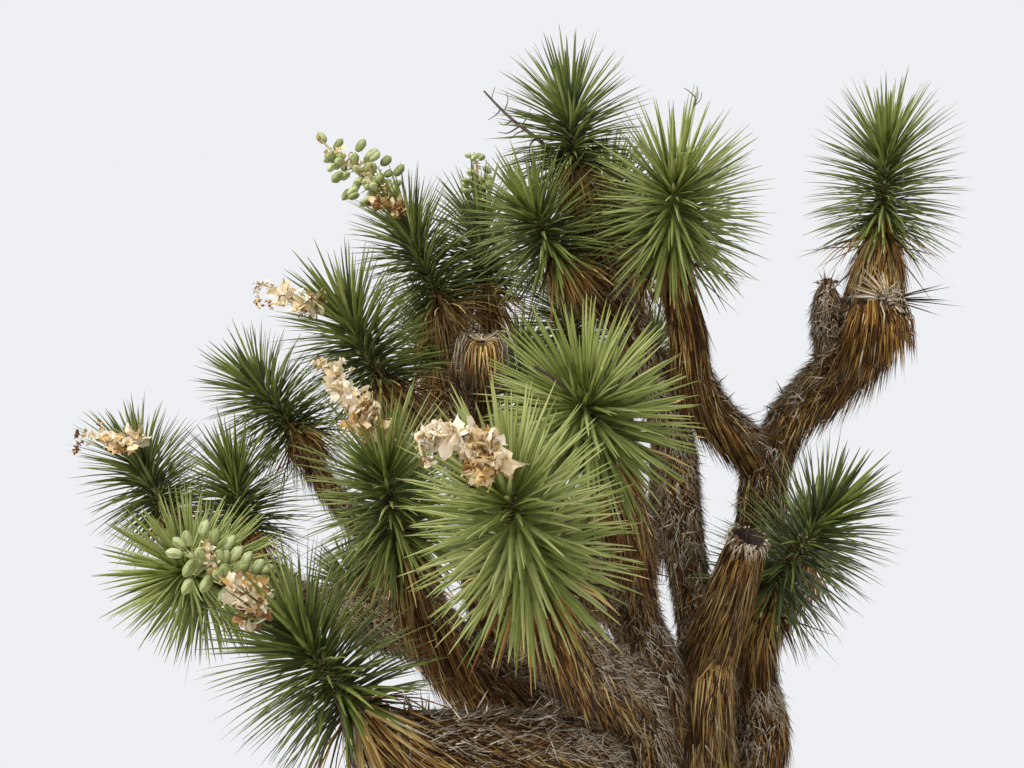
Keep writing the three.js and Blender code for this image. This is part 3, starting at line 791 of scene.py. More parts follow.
# %% Grow the heads
GOLDEN_TURN = math.radians(137.5)
FURTHEST_LEAN = math.radians(118)
BLADES = 315
DYING_BLADES = 14
BLADE_WIDTH = 0.0125
# The youngest share of the blades is still short, and the oldest share is dying
YOUNG_SHARE, OLD_SHARE = 0.05, 0.96
STEM_SURFACE = 0.018
LEAN_WANDER, TURN_WANDER = 0.08, 0.12
END_SAG = 0.1
# How far up the blade its shaded foot and its rind reach, and where a dry tip and the spine start
SHADED_TO, RIND_TO, DRY_FROM, SPINE_FROM = 0.4, 0.05, 0.8, 0.95
SEED = 20


def leaning(axis, out, lean):
    return axis * np.cos(lean)[:, None] + out * np.sin(lean)[:, None]


def grow_head(name, foot, tip, blade, paleness_and_painted_light, seed):
    rng = np.random.default_rng(seed)
    stem = np.linalg.norm(tip - foot)
    axis = (tip - foot) / stem
    live = int(BLADES * blade * (0.7 + 1.2 * stem))
    count = live + DYING_BLADES
    share = (np.arange(count) + 0.5) / live
    back = np.minimum(share, 1.0) + 1.2 * np.clip(share - 1, 0, 1)
    lean = FURTHEST_LEAN * back**0.5 + rng.normal(0, LEAN_WANDER, count)
    turn = np.arange(count) * GOLDEN_TURN + rng.normal(0, TURN_WANDER, count)
    out = around(np.repeat(axis[None], count, 0), turn)
    base = tip + (foot - tip) * back[:, None] + out * STEM_SURFACE
    grown = np.clip(share / YOUNG_SHARE, 0, 1) ** 0.5
    length = LEAF * blade * (0.32 + 0.68 * grown) * rng.uniform(0.84, 1.1, count)
    start = leaning(axis, out, lean * 0.86)
    end = leaning(axis, out, lean * 1.03) + rng.normal(0, 0.045, (count, 3))
    end[:, 2] -= END_SAG * back
    width = BLADE_WIDTH * rng.uniform(0.85, 1.15, count)
    dying = (share > 1) | ((share > OLD_SHARE) & (rng.uniform(0, 1, count) < 0.4))
    width[dying] *= 0.8
    end[dying] += DOWN * rng.uniform(0.1, 0.9, dying.sum())[:, None]
    copies = bowed(live_blade, base, start, unit(end), np.tile(axis, (count, 1)), length, width)
    points, faces = joined(live_blade, copies)
    # The head's tint is partly its own tone and partly painted light: pale sage in the open, deep green
    # in shade. Older blades are drawn darker
    tint = rng.normal(paleness_and_painted_light * PALEST, 0.8, count) - 0.7 * share + 0.5
    tint = np.clip(tint, 0, PALEST).round()
    height = live_blade["height"][None]
    old = (share > 0.8) & (rng.uniform(0, 1, count) < 0.3)
    dry = rng.choice([DYING_STRAW, DYING_GOLDEN, DYING_RUST, DYING_DARK], count)
    finish = np.repeat(tint[:, None], height.size, axis=1)
    finish = np.where(height < SHADED_TO, np.maximum(finish - 1, 0), finish)
    finish = np.where(height < RIND_TO, FOOT_RIND, finish)
    finish = np.where(old[:, None] & (height > DRY_FROM), DYING_STRAW, finish)
    finish = np.where(dying[:, None], dry[:, None], finish)
    finish = np.where(height > SPINE_FROM, SPINE_HORN, finish)
    piece = mesh_of(f"blades_{name}", points, faces, finish.ravel(), LIVE)
    settle(piece)
    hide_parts(f"leaves_{name}")


for number, (name, head) in enumerate(HEADS.items()):
    grow_head(name, *head, SEED + number)

# %% [markdown]
# Under each head the dead leaves fold back along the bough, first straw, then rust brown,
# then grey, and they shorten as they weather. They point back down the bough and hang with
# gravity, so the underside is shaggy and the upper side is pressed flat. The thatch thins
# out down the trunk, where the bark shows.

# %% Clothe the limbs in thatch
PER_AREA = 11000
PER_AREA_AT_BACK = 7500
TRUNK_BARE_BELOW = 0.72
TRUNK_CLAD_OVER = 0.5
PLACE_STEP = 0.02
# How far into the head dead leaves start, as a share of its stem, and how deep in the wood
INTO_HEAD = 0.2
ON_WOOD = 0.98
# How grey the old thatch is, how far the rust brown skirt reaches below the head, how it hangs
TRAITS = {
    "bough_far_right": (0.5, 0.3, 1.3), "bough_upper_right": (0.35, 0.5, 1.0),
    "bough_front": (0.95, 0.3, 1.0), "bough_mid_right": (0.85, 0.45, 0.8),
    "bough_mid_left": (0.35, 0.55, 1.0), "bough_low_left": (0.65, 0.22, 1.0),
    "bough_centre": (0.95, 0.0, 0.7), "bough_right": (0.6, 0.0, 0.8),
    "bough_left": (0.95, 0.0, 0.8), "trunk": (0.7, 0.0, 1.0), "stub_knob": (0.95, 0.0, 0.5),
    HOLLOW_STUB: (0.15, 0.5, 0.0), "stub_drooping": (0.4, 0.3, 1.0),
    "bough_upper_left": (0.5, 0.25, 0.5), "bough_left_mid": (0.4, 0.2, 0.5),
    "bough_upper_left_back": (0.5, 0.2, 0.5),
}
USUAL_TRAITS = (0.5, 0.3, 1.0)
# How far the newest straw reaches below the head
STRAW_REACH = {"bough_far_right": 0.3}
USUAL_REACH = 0.12
# Each kind of dead leaf: its pattern, its wander, its lengths and widths, how far it stands off
KINDS = {
    "hanging": (dry_blade, 0.12, (0.1, 0.2), (0.0032, 0.0054), 0.15),
    "needle": (dry_scale, 0.1, (0.06, 0.14), (0.0032, 0.0048), 0.08),
    "scale": (dry_scale, 0.5, (0.035, 0.085), (0.003, 0.0055), 0.25),
    "litter": (dry_blade, 1.6, (0.06, 0.14), (0.004, 0.006), 0.1),
    "astray": (dry_blade, 0.2, (0.16, 0.26), (0.0045, 0.0065), 0.8),
}
# The tints of each age, and how often each comes
OLD_TINTS = {RUST: 0.08, DARK: 0.27, TAN: 0.2, GREY: 0.33, SLATE: 0.12}
BROWN_TINTS = {STRAW: 0.08, GOLDEN: 0.16, RUST: 0.26, DARK: 0.34, TAN: 0.1, SLATE: 0.06}
WORN_TINTS = {STRAW: 0.07, GOLDEN: 0.2, RUST: 0.14, DARK: 0.28, TAN: 0.23, SLATE: 0.08}
FRESH_TINTS = {STRAW: 0.36, GOLDEN: 0.28, RUST: 0.12, TAN: 0.24}
ASTRAY_TINTS = {DARK: 0.5, SLATE: 0.3, GOLDEN: 0.2}
THATCH_SEED = 500
every_place = [
    walk(line, run, np.arange(0, run[-1], PLACE_STEP))[:2] for line, run in LINES.values()
]
every_line = np.vstack([np.column_stack(pair) for pair in every_place])
line_owner = np.repeat(np.arange(len(LINES)), [len(place) for place, _ in every_place])


def buried(name, base):
    """Whether each place lies inside another limb's wood."""
    inside = np.zeros(len(base), bool)
    for place in every_line[line_owner != list(LIMBS).index(name)]:
        near = ((base - place[:3]) ** 2).sum(axis=1)
        inside |= near < wood_radius("", place[3]) ** 2
    return inside


def spread(name, per_area, rng):
    """Places all over a limb's wood, as thick everywhere. Age is the way back from its end."""
    line, run = LINES[name]
    rings = math.pi * (line[1:, 3] + line[:-1, 3]) * np.diff(run)
    area = np.concatenate([[0], np.cumsum(rings)])
    reach = np.interp(FOOT_AT[name] + INTO_HEAD * (run[-1] - FOOT_AT[name]), run, area)
    count = int(per_area * reach)
    distance = np.interp(rng.uniform(0, reach, count), area, run)
    place, radius, heading = walk(line, run, distance)
    out = around(heading, rng.uniform(0, 2 * math.pi, count))
    base = place + out * wood_radius(name, radius)[:, None] * ON_WOOD
    keep = ~buried(name, base)
    if name == "trunk":
        height = base[:, 2] - TRUNK_BARE_BELOW - 0.1 * patches(base, 0.25)
        clad = np.clip(height / TRUNK_CLAD_OVER, 0, 1)
        keep &= rng.uniform(0, 1, count) < clad
    if name == HOLLOW_STUB:
        keep &= (base - rim) @ rim_axis < -BREAK_SLOPE * ((base - rim) @ rim_front) - 0.006
    return [rows[keep] for rows in (FOOT_AT[name] - distance, base, heading, out)]


def patches(place, size):
    """A smooth pattern from -1 to 1 with patches of that size, to vary the thatch."""
    waves = np.array([[1, 0.3, 0.5], [-0.4, 1, 0.7], [0.5, -0.6, 1]])
    return np.sin(place @ (2 * math.pi / size * waves)).mean(axis=1) * 1.5


def pressed(direction, out, limit):
    """The direction, kept from sinking into the wood or standing off it past a limit."""
    radial = (direction * out).sum(axis=1)
    return unit(direction + out * (np.clip(radial, 0.0, limit) - radial)[:, None])


def drawn(rng, count, chances):
    """A tint for each copy, drawn by those chances."""
    return np.array(list(chances))[rng.choice(len(chances), count, p=list(chances.values()))]


def clothe(name, seed):
    """The dead leaves of one limb, kind by kind."""
    rng = np.random.default_rng(seed)
    grey, skirt, hang = TRAITS.get(name, USUAL_TRAITS)
    at_back = "back" in name
    age, base, heading, out = spread(name, PER_AREA_AT_BACK if at_back else PER_AREA, rng)
    count = len(age)
    fresh = np.clip(1 - age / STRAW_REACH.get(name, USUAL_REACH), 0, 1) * (head_of(name) is not None)
    rusty = np.clip(1.3 - age / skirt, 0, 1) if skirt else np.zeros(count)
    upper, under = np.clip(out[:, 2], 0, 1), np.clip(-out[:, 2], 0, 1)
    weathered = grey + 0.7 * upper - 0.35 * under + 0.25 * patches(base, 0.3) - 0.6 * rusty - fresh
    chance = rng.uniform(0, 1, (3, count))
    short = chance[0] < weathered
    kinds = np.where(chance[1] < 0.2 + 0.25 * under * hang + 0.2 * fresh, "hanging", "needle")
    kinds = np.where((fresh > 0.2) & (age < 0.1) & (chance[2] < 0.05), "astray", kinds)
    kinds = np.where(short, "scale", kinds)
    kinds = np.where(short & (upper > 0.5) & (chance[2] < 0.1), "litter", kinds)
    side = np.cross(heading, out)
    laid = []
    for kind, (pattern, wander, lengths, widths, off) in KINDS.items():
        pick = kinds == kind
        n = int(pick.sum())
        f, u, o = fresh[pick], under[pick], out[pick]
        astray = kind == "astray"
        lean = math.pi - rng.uniform(0.05, 0.45, n) * np.maximum(f, 0.2)
        lean -= astray * rng.uniform(0.4, 1.1, n)
        turn = rng.normal(0, wander, n)[:, None]
        end = leaning(heading[pick], o, lean) * np.cos(turn) + side[pick] * np.sin(turn)
        if kind in ("hanging", "needle"):
            end = unit(end + DOWN * (hang * rng.uniform(0.2, 0.7, n) * (1 - f))[:, None])
        loose = off + (kind == "hanging") * (0.25 * f + 0.35 * hang * u * rng.uniform(0, 1, n))
        end = pressed(end, o, loose)
        if kind in ("scale", "litter"):
            end = unit(end + o * rng.uniform(-0.1, 0.35 if kind == "scale" else 0.1, n)[:, None])
            tint = drawn(rng, n, OLD_TINTS)
        else:
            golden = drawn(rng, n, FRESH_TINTS)
            browns = WORN_TINTS if name == HOLLOW_STUB else BROWN_TINTS
            tint = np.where(rng.uniform(0, 1, n) < 0.85 * f**0.6, golden, drawn(rng, n, browns))
        if astray:
            tint = drawn(rng, n, ASTRAY_TINTS)
        start = unit(end + o * (0.12 + 0.25 * f * (kind != "needle"))[:, None])
        length = rng.uniform(*lengths, n) * (1 + 0.35 * f)
        width = rng.uniform(*widths, n) * (1 + 0.2 * f)
        laid.append((pattern, bowed(pattern, base[pick], start, end, o, length, width), tint))
    return laid


GROUPS = {
    "thatch_trunk": ["trunk", "bough_centre", HOLLOW_STUB, "bough_mid_right"],
    "thatch_right": ["bough_right", "bough_far_right", "bough_upper_right", "bough_lower_right",
                     "stub_knob", "bough_right_back"],
    "thatch_front": ["bough_front", "bough_low_left", "bough_mid_left"],
    "thatch_left": ["bough_left", "bough_left_inner", "bough_far_left", "bough_left_low",
                    "bough_left_upper", "bough_left_under", "bough_left_back"],
    "thatch_crown": ["bough_upper_left", "bough_left_mid", "bough_upper_left_back", "bough_top",
                     "bough_top_back", "bough_upper_middle", "stub_drooping", "bough_back_mid"],
    "thatch_back": ["bough_back_top", "bough_back_left", "bough_back_low", "bough_back_right",
                    "bough_back_upper"],
}


def mesh_of_all(name, laid, finishes):
    """One mesh of several lots of copies, each with its own pattern."""
    all_points, all_faces, all_finish, so_far = [], [], [], 0
    for pattern, copies, tint in laid:
        points, faces = joined(pattern, copies)
        all_points.append(points)
        all_faces.append(faces + so_far)
        all_finish.append((tint[:, None] + pattern["shade"][None]).ravel())
        so_far += len(points)
    return mesh_of(
        name, np.concatenate(all_points), np.concatenate(all_faces), np.concatenate(all_finish),
        finishes,
    )


for group, names in GROUPS.items():
    laid = [lot for name in names for lot in clothe(name, THATCH_SEED + list(LIMBS).index(name))]
    settle(mesh_of_all(group, laid, DRY))

# %% [markdown]
# One thick bough has snapped and rotted hollow. A cylinder over its end is inset and pushed
# down for the pit, and every point near the top is then moved along the bough's axis: by a
# slope, because the break runs down towards the viewer, and by chance, because it is torn.

# %% Break off the hollow stub
HOLLOW_RADIUS = 0.045
WALL = 0.006
WALL_DEPTH = 0.26
PIT_STEPS = 3
PIT_TAPER = 0.9
HOLLOW_SEED = 7
nothing_selected()
bpy.ops.mesh.primitive_cylinder_add(
    vertices=30, radius=rim_radius - WALL, depth=WALL_DEPTH, location=(0, 0, -WALL_DEPTH / 2)
)
hollow = bpy.context.object
hollow.name = "broken_stub"
bpy.ops.object.transform_apply()
mode("EDIT")
bpy.ops.mesh.select_all(action="DESELECT")
mode("OBJECT")
for face in hollow.data.polygons:
    face.select = face.normal.z > 0.9
mode("EDIT")
bpy.ops.mesh.inset(thickness=rim_radius - WALL - HOLLOW_RADIUS)
for _ in range(PIT_STEPS):
    bpy.ops.mesh.extrude_region_move(
        TRANSFORM_OT_translate={"value": (0, 0, -HOLLOW_DEPTH / PIT_STEPS)}
    )
    bpy.ops.transform.resize(value=(PIT_TAPER, PIT_TAPER, 1))
bpy.ops.mesh.select_all(action="SELECT")
bpy.ops.mesh.subdivide(number_cuts=1)
mode("OBJECT")
hollow.rotation_mode = "QUATERNION"
hollow.rotation_quaternion = Vector(rim_axis).to_track_quat("Z", "Y")
hollow.location = rim
only(hollow)
bpy.ops.object.transform_apply()
rng = np.random.default_rng(HOLLOW_SEED)
heartwood = finish_of("weathered heartwood, purple brown", "#3a2e2a", 0.9, 9, 0.8)
finished_with(hollow, bough_bark.data.materials[0], heartwood)
for face in hollow.data.polygons:
    off = np.array(face.center) - rim
    across = np.linalg.norm(off - off @ rim_axis * rim_axis)
    face.material_index = int(across < HOLLOW_RADIUS * 0.99)
for vertex in hollow.data.vertices:
    off = np.array(vertex.co) - rim
    height = off @ rim_axis
    across = np.linalg.norm(off - height * rim_axis)
    near_top = np.clip(1 + height / CUT_BACK, 0, 1)
    torn = rng.uniform(-0.01, 0.006) if height > -0.004 else rng.normal(0, 0.001)
    vertex.co = vertex.co + Vector(rim_axis * (torn - BREAK_SLOPE * near_top * (off @ rim_front)))
    if across < HOLLOW_RADIUS * 0.97:
        vertex.co = vertex.co + Vector(rng.normal(0, 0.0025, 3))
bpy.ops.object.shade_smooth_by_angle(angle=math.radians(30))
settle(hollow)

# %% [markdown]
# The dead ends keep dead leaves of their own: frayed fibres round the hollow stub, a mop that
# arches out of the drooping stub and hangs, curls and a skirt at the pale scar on the far right
# bough, spikes on the knob and a straw skirt under the lowest head. Each is one spray with its
# own rule.

# %% Fibres and skirts of the dead stubs
def ring(axis, count):
    """Directions out of an axis, one golden turn after another."""
    return around(np.repeat(axis[None], count, 0), np.arange(count) * GOLDEN_TURN)


def spray(pattern, base, start, end, up, length, width, tint):
    """One lot of copies with its tints, ready to be joined with others."""
    up = np.broadcast_to(up, base.shape)
    width = np.broadcast_to(width, length.shape)
    return pattern, bowed(pattern, base, start, end, up, length, width), tint


def torn_rim(rng):
    """Pale frayed ribbons that rise out of the rim of the broken stub and loop down outside."""
    count = 230
    out = ring(rim_axis, count)
    base = rim + out * (rim_radius - WALL - rng.uniform(0.0, 0.014, count))[:, None]
    sloped = rng.uniform(-0.02, 0.0, count) - BREAK_SLOPE * ((base - rim) @ rim_front)
    base = base + rim_axis * sloped[:, None]
    front = np.clip(out @ rim_front + 0.3, 0, 1)
    rise = rng.uniform(0.5, 1.1, count)
    start = rim_axis * rise[:, None] + out * rng.uniform(0.1, 0.7, count)[:, None]
    end = out * rng.uniform(0.2, 0.8, count)[:, None] - rim_axis * (rise + 2.0 * front)[:, None]
    end = end + rng.normal(0, 0.9, (count, 3))
    length = rng.uniform(0.014, 0.026, count) * (1 + 0.8 * front)
    tint = drawn(rng, count, {GREY: 0.55, TAN: 0.2, SLATE: 0.25})
    return spray(dry_ribbon, base, start, end, out, length, rng.uniform(0.003, 0.006, count), tint)


def mop(rng):
    """Ribbons that spring from the top of the drooping stub: those behind arch over and hang."""
    top = sight(483, 340, -0.03)
    count = 420
    out = ring(-DOWN, count)
    nearness = np.clip(out @ unit(EYE - top) + 0.1, 0, 1)
    outer = rng.uniform(0.45, 1, count) * (1 - 0.6 * nearness)
    arch = outer * (1 - nearness)
    base = top + out * rng.uniform(0.003, 0.02, count)[:, None] + DOWN * (0.02 * nearness)[:, None]
    start = out * (0.15 + 0.75 * outer)[:, None] - DOWN * (1.1 * arch)[:, None]
    end = DOWN * (1.3 + 1.1 * arch)[:, None] - out * (0.3 * outer)[:, None]
    end = end + rng.normal(0, 0.12, (count, 3))
    length = rng.uniform(0.2, 0.3, count)
    inner_tint = drawn(rng, count, {STRAW: 0.2, GOLDEN: 0.25, RUST: 0.15, TAN: 0.25, DARK: 0.15})
    outer_tint = drawn(rng, count, {GREY: 0.5, SLATE: 0.3, TAN: 0.2})
    tint = np.where(arch > 0.4, outer_tint, inner_tint)
    return spray(dry_ribbon, base, start, end, out, length, rng.uniform(0.004, 0.008, count), tint)


SCAR = sight(889, 300, -0.04)
SCAR_TO_EYE = unit(EYE - SCAR)
SCAR_RIGHT = unit(np.cross(SCAR_TO_EYE, DOWN))


def scar_curls(rng):
    """Short pale ribbons that curl over the scar every way."""
    count = 210
    out = ring(SCAR_TO_EYE, count)
    base = SCAR + out * (0.05 * rng.uniform(0, 1, count) ** 0.8)[:, None]
    base = base - SCAR_TO_EYE * rng.uniform(-0.01, 0.02, count)[:, None]
    start = unit(SCAR_TO_EYE * 0.7 + out * 0.3 + rng.normal(0, 0.6, (count, 3)))
    end = rng.normal(0, 1.2, (count, 3)) + DOWN * 0.4
    length = rng.uniform(0.025, 0.05, count)
    tint = drawn(rng, count, {GREY: 0.8, TAN: 0.1, SLATE: 0.1})
    return spray(dry_ribbon, base, start, end, out, length, rng.uniform(0.005, 0.009, count), tint)


def scar_blades(rng):
    """Pale blades that point up and to the left of the scar, and thin dark spikes to its right."""
    count = 72
    dark = np.arange(count) % 6 == 0
    pale_angle = np.where(rng.uniform(0, 1, count) < 0.7, 2.2, 3.9) + rng.normal(0, 0.4, count)
    angle = np.where(dark, rng.uniform(-1.1, 0.3, count), pale_angle)
    out = SCAR_RIGHT * np.cos(angle)[:, None] - DOWN * np.sin(angle)[:, None]
    base = SCAR + out * rng.uniform(0.0, 0.04, count)[:, None]
    start = unit(out + SCAR_TO_EYE * rng.uniform(0.1, 0.5, count)[:, None])
    end = unit(out + SCAR_TO_EYE * rng.uniform(-0.3, 0.1, count)[:, None] + DOWN * 0.1)
    length = np.where(dark, rng.uniform(0.12, 0.24, count), rng.uniform(0.05, 0.14, count))
    width = np.where(dark, 0.004, rng.uniform(0.0045, 0.0075, count))
    pale = drawn(rng, count, {GREY: 0.45, TAN: 0.25, STRAW: 0.15, SLATE: 0.15})
    tint = np.where(dark, DARK, pale)
    return spray(dry_blade, base, start, end, SCAR_TO_EYE, length, width, tint)


def scar_skirt(rng):
    """Rust and golden blades that hang below the scar in the shape of a bell."""
    count = 560
    swell = 0.138
    away = 4.1
    side = rng.uniform(-0.09, 0.118, count)
    deep = 0.09 - np.sqrt(swell**2 - side**2)
    base = np.array([
        sight(872 + part * FOCAL / away, 306, depth) for part, depth in zip(side, deep)
    ])
    drop = rng.triangular(-0.04, 0.04, 0.13, count) + 7.0 * np.minimum(side, 0) ** 2
    base = base + DOWN * drop[:, None]
    out = unit(SCAR_RIGHT * (side / swell)[:, None] + SCAR_TO_EYE * 0.7)
    start = unit(out * 0.8 + DOWN * rng.uniform(0.5, 1.2, count)[:, None])
    end = unit(DOWN - SCAR_RIGHT * 0.25 + out * rng.uniform(-0.05, 0.15, count)[:, None])
    length = rng.uniform(0.12, 0.22, count) * (1 - 0.25 * (side > 0.08))
    tint = drawn(rng, count, {STRAW: 0.08, GOLDEN: 0.27, RUST: 0.3, DARK: 0.3, GREY: 0.05})
    return spray(dry_blade, base, start, end, out, length, rng.uniform(0.004, 0.0065, count), tint)


def knob_spikes(rng):
    """Thin spikes on top of the knob, the last of its leaves."""
    count = 40
    line, run = LINES["stub_knob"]
    (top,), _, (axis,) = walk(line, run, np.array([run[-1]]))
    out = ring(axis, count)
    tall = rng.uniform(0, 1, count) < 0.35
    base = top + out * rng.uniform(0.005, 0.04, count)[:, None] - axis * 0.012
    start = unit(axis + out * rng.uniform(0.1, 0.7, count)[:, None])
    end = unit(axis * np.where(tall, 0.9, -0.4)[:, None] + out * 0.6)
    length = np.where(tall, rng.uniform(0.05, 0.09, count), rng.uniform(0.02, 0.04, count))
    width = np.where(tall, 0.0035, 0.008)
    return spray(dry_blade, base, start, end, out, length, width, np.where(tall, SLATE, RUST))


def straw_skirt(rng):
    """The newest dead leaves of the lowest head, still straight, pale and broad."""
    count = 60
    foot = sight(356, 708, -0.69)
    share = rng.uniform(0, 1, count)
    goal = np.array([
        sight(434 - 82 * part, 726 + 52 * part**0.6, rng.uniform(-0.8, -0.62)) for part in share
    ])
    way = unit(goal - foot)
    base = foot + way * 0.03 + rng.normal(0, 0.012, (count, 3))
    length = rng.uniform(0.17, 0.27, count)
    tint = drawn(rng, count, {STRAW: 0.65, GOLDEN: 0.15, GREY: 0.2})
    up = unit(EYE - foot)
    end = unit(way + DOWN * 0.08)
    return spray(dry_blade, base, way, end, up, length, rng.uniform(0.009, 0.012, count), tint)


FIBRE_SEED = 8
rng = np.random.default_rng(FIBRE_SEED)
laid = [lot(rng) for lot in (
    torn_rim, mop, scar_curls, scar_blades, scar_skirt, knob_spikes, straw_skirt,
)]
settle(mesh_of_all("stub_fibres", laid, DRY))

# %% [markdown]
# On the real tree the flower stalks dry to papery sheets, and pollinated ones carry green
# capsules with three lobes. A capsule is a ball with three of its seams drawn in, and painted
# darker there as painted shade in the furrows. A petal or bract is a grid that narrows at its
# foot and to a pointed tip, crumpled at random in a few versions.

# %% Model a capsule and the petals
CAPSULE_SIDES = 18
LOBE = 2 * math.pi / 3


def from_seam(x, y):
    """How far round from the nearest of the three seams, as an angle."""
    return np.abs((np.arctan2(y, x) + LOBE / 2) % LOBE - LOBE / 2)


def capsule():
    nothing_selected()
    bpy.ops.mesh.primitive_uv_sphere_add(
        segments=CAPSULE_SIDES, ring_count=6, radius=0.5, location=(0, 0, 0.5)
    )
    made = bpy.context.object
    bpy.ops.object.transform_apply()
    # The ring below the tip is widened and the middle one drawn in, so that the tip is blunt
    for height, blunt in ((0.5 + 0.5 * math.cos(math.pi / 3), 1.08), (0.5, 0.96)):
        select_ring(made, height)
        bpy.ops.transform.resize(value=(blunt, blunt, 1), center_override=(0, 0, height))
    select_where(made, lambda place: from_seam(place.x, place.y) < 0.1 and abs(place.z - 0.5) < 0.49)
    bpy.ops.transform.resize(value=(0.74, 0.74, 1), center_override=(0, 0, 0.5))
    select_ring(made, max(vertex.co.z for vertex in made.data.vertices))
    bpy.ops.transform.translate(value=(0, 0, 0.05))
    mode("OBJECT")
    apply_modifier(made, "TRIANGULATE")
    return made


def crumpled(seed):
    """A thin sheet, one long and one wide, narrow at its foot and crumpled its own way."""
    nothing_selected()
    bpy.ops.mesh.primitive_grid_add(
        x_subdivisions=3, y_subdivisions=5, size=1, location=(0, 0, 0.5), rotation=(math.pi / 2, 0, 0)
    )
    made = bpy.context.object
    made.name = f"petal_{seed}"
    bpy.ops.object.transform_apply()
    for height, width in ((0, 0.3), (0.2, 0.8), (0.6, 0.9), (0.8, 0.5), (1, 0.06)):
        select_ring(made, height)
        bpy.ops.transform.resize(value=(width, 1, 1), center_override=(0, 0, height))
    bpy.ops.mesh.select_all(action="SELECT")
    bpy.ops.transform.vertex_random(offset=0.13, uniform=0.7, normal=0.0, seed=seed)
    mode("OBJECT")
    apply_modifier(made, "TRIANGULATE")
    return made


seed_capsule = pattern_of(capsule())
middle = seed_capsule["points"][seed_capsule["faces"]].mean(axis=1)
at_seam = from_seam(middle[:, 0], middle[:, 1]) < 2 * math.pi / CAPSULE_SIDES
SHEETS = [pattern_of(crumpled(seed)) for seed in range(4)]
PETALS = finishes_of("papery petal", (("cream", "#f8ead0", 0.7), ("ivory", "#ecd6ac", 0.7)), 6, 0.3)
# Ochre and golden are partly the bracts' own dry colour and partly painted shade on the cream petals;
# brown is their own colour
PETALS += finishes_of("dry bract and painted shade", (
    ("ochre", "#d8b578", 0.75), ("golden", "#c09a5c", 0.75), ("brown", "#8a5b36", 0.8),
), 6, 0.4)
PETALS.append(finish_of("flower stalk, pale green", "#b7b57c", 0.6, 8, 0.3))
STALK = len(PETALS) - 1
RINDS = finishes_of("capsule rind", (
    ("light green", "#a9af74", 0.55), ("grey green", "#959d60", 0.55), ("pale", "#c0c68f", 0.55),
), 9, 0.25)
# A seam has the same place among the seams as the rind that it divides has among the rinds
RIND_TINTS = len(RINDS)
# The seams' finishes are painted shade: each is its rind painted darker, for the shade in the furrow
# between two lobes
RINDS += finishes_of("capsule seam, painted shade", (
    ("olive", "#858c52", 0.6), ("dark olive", "#757d47", 0.6), ("light olive", "#969c65", 0.6),
), 9, 0.25)
# Faces at a seam take the painted shade of their rind
seed_capsule["shade"] = at_seam * RIND_TINTS
print("faces of a capsule", len(seed_capsule["faces"]), "and of a petal", len(SHEETS[0]["faces"]))
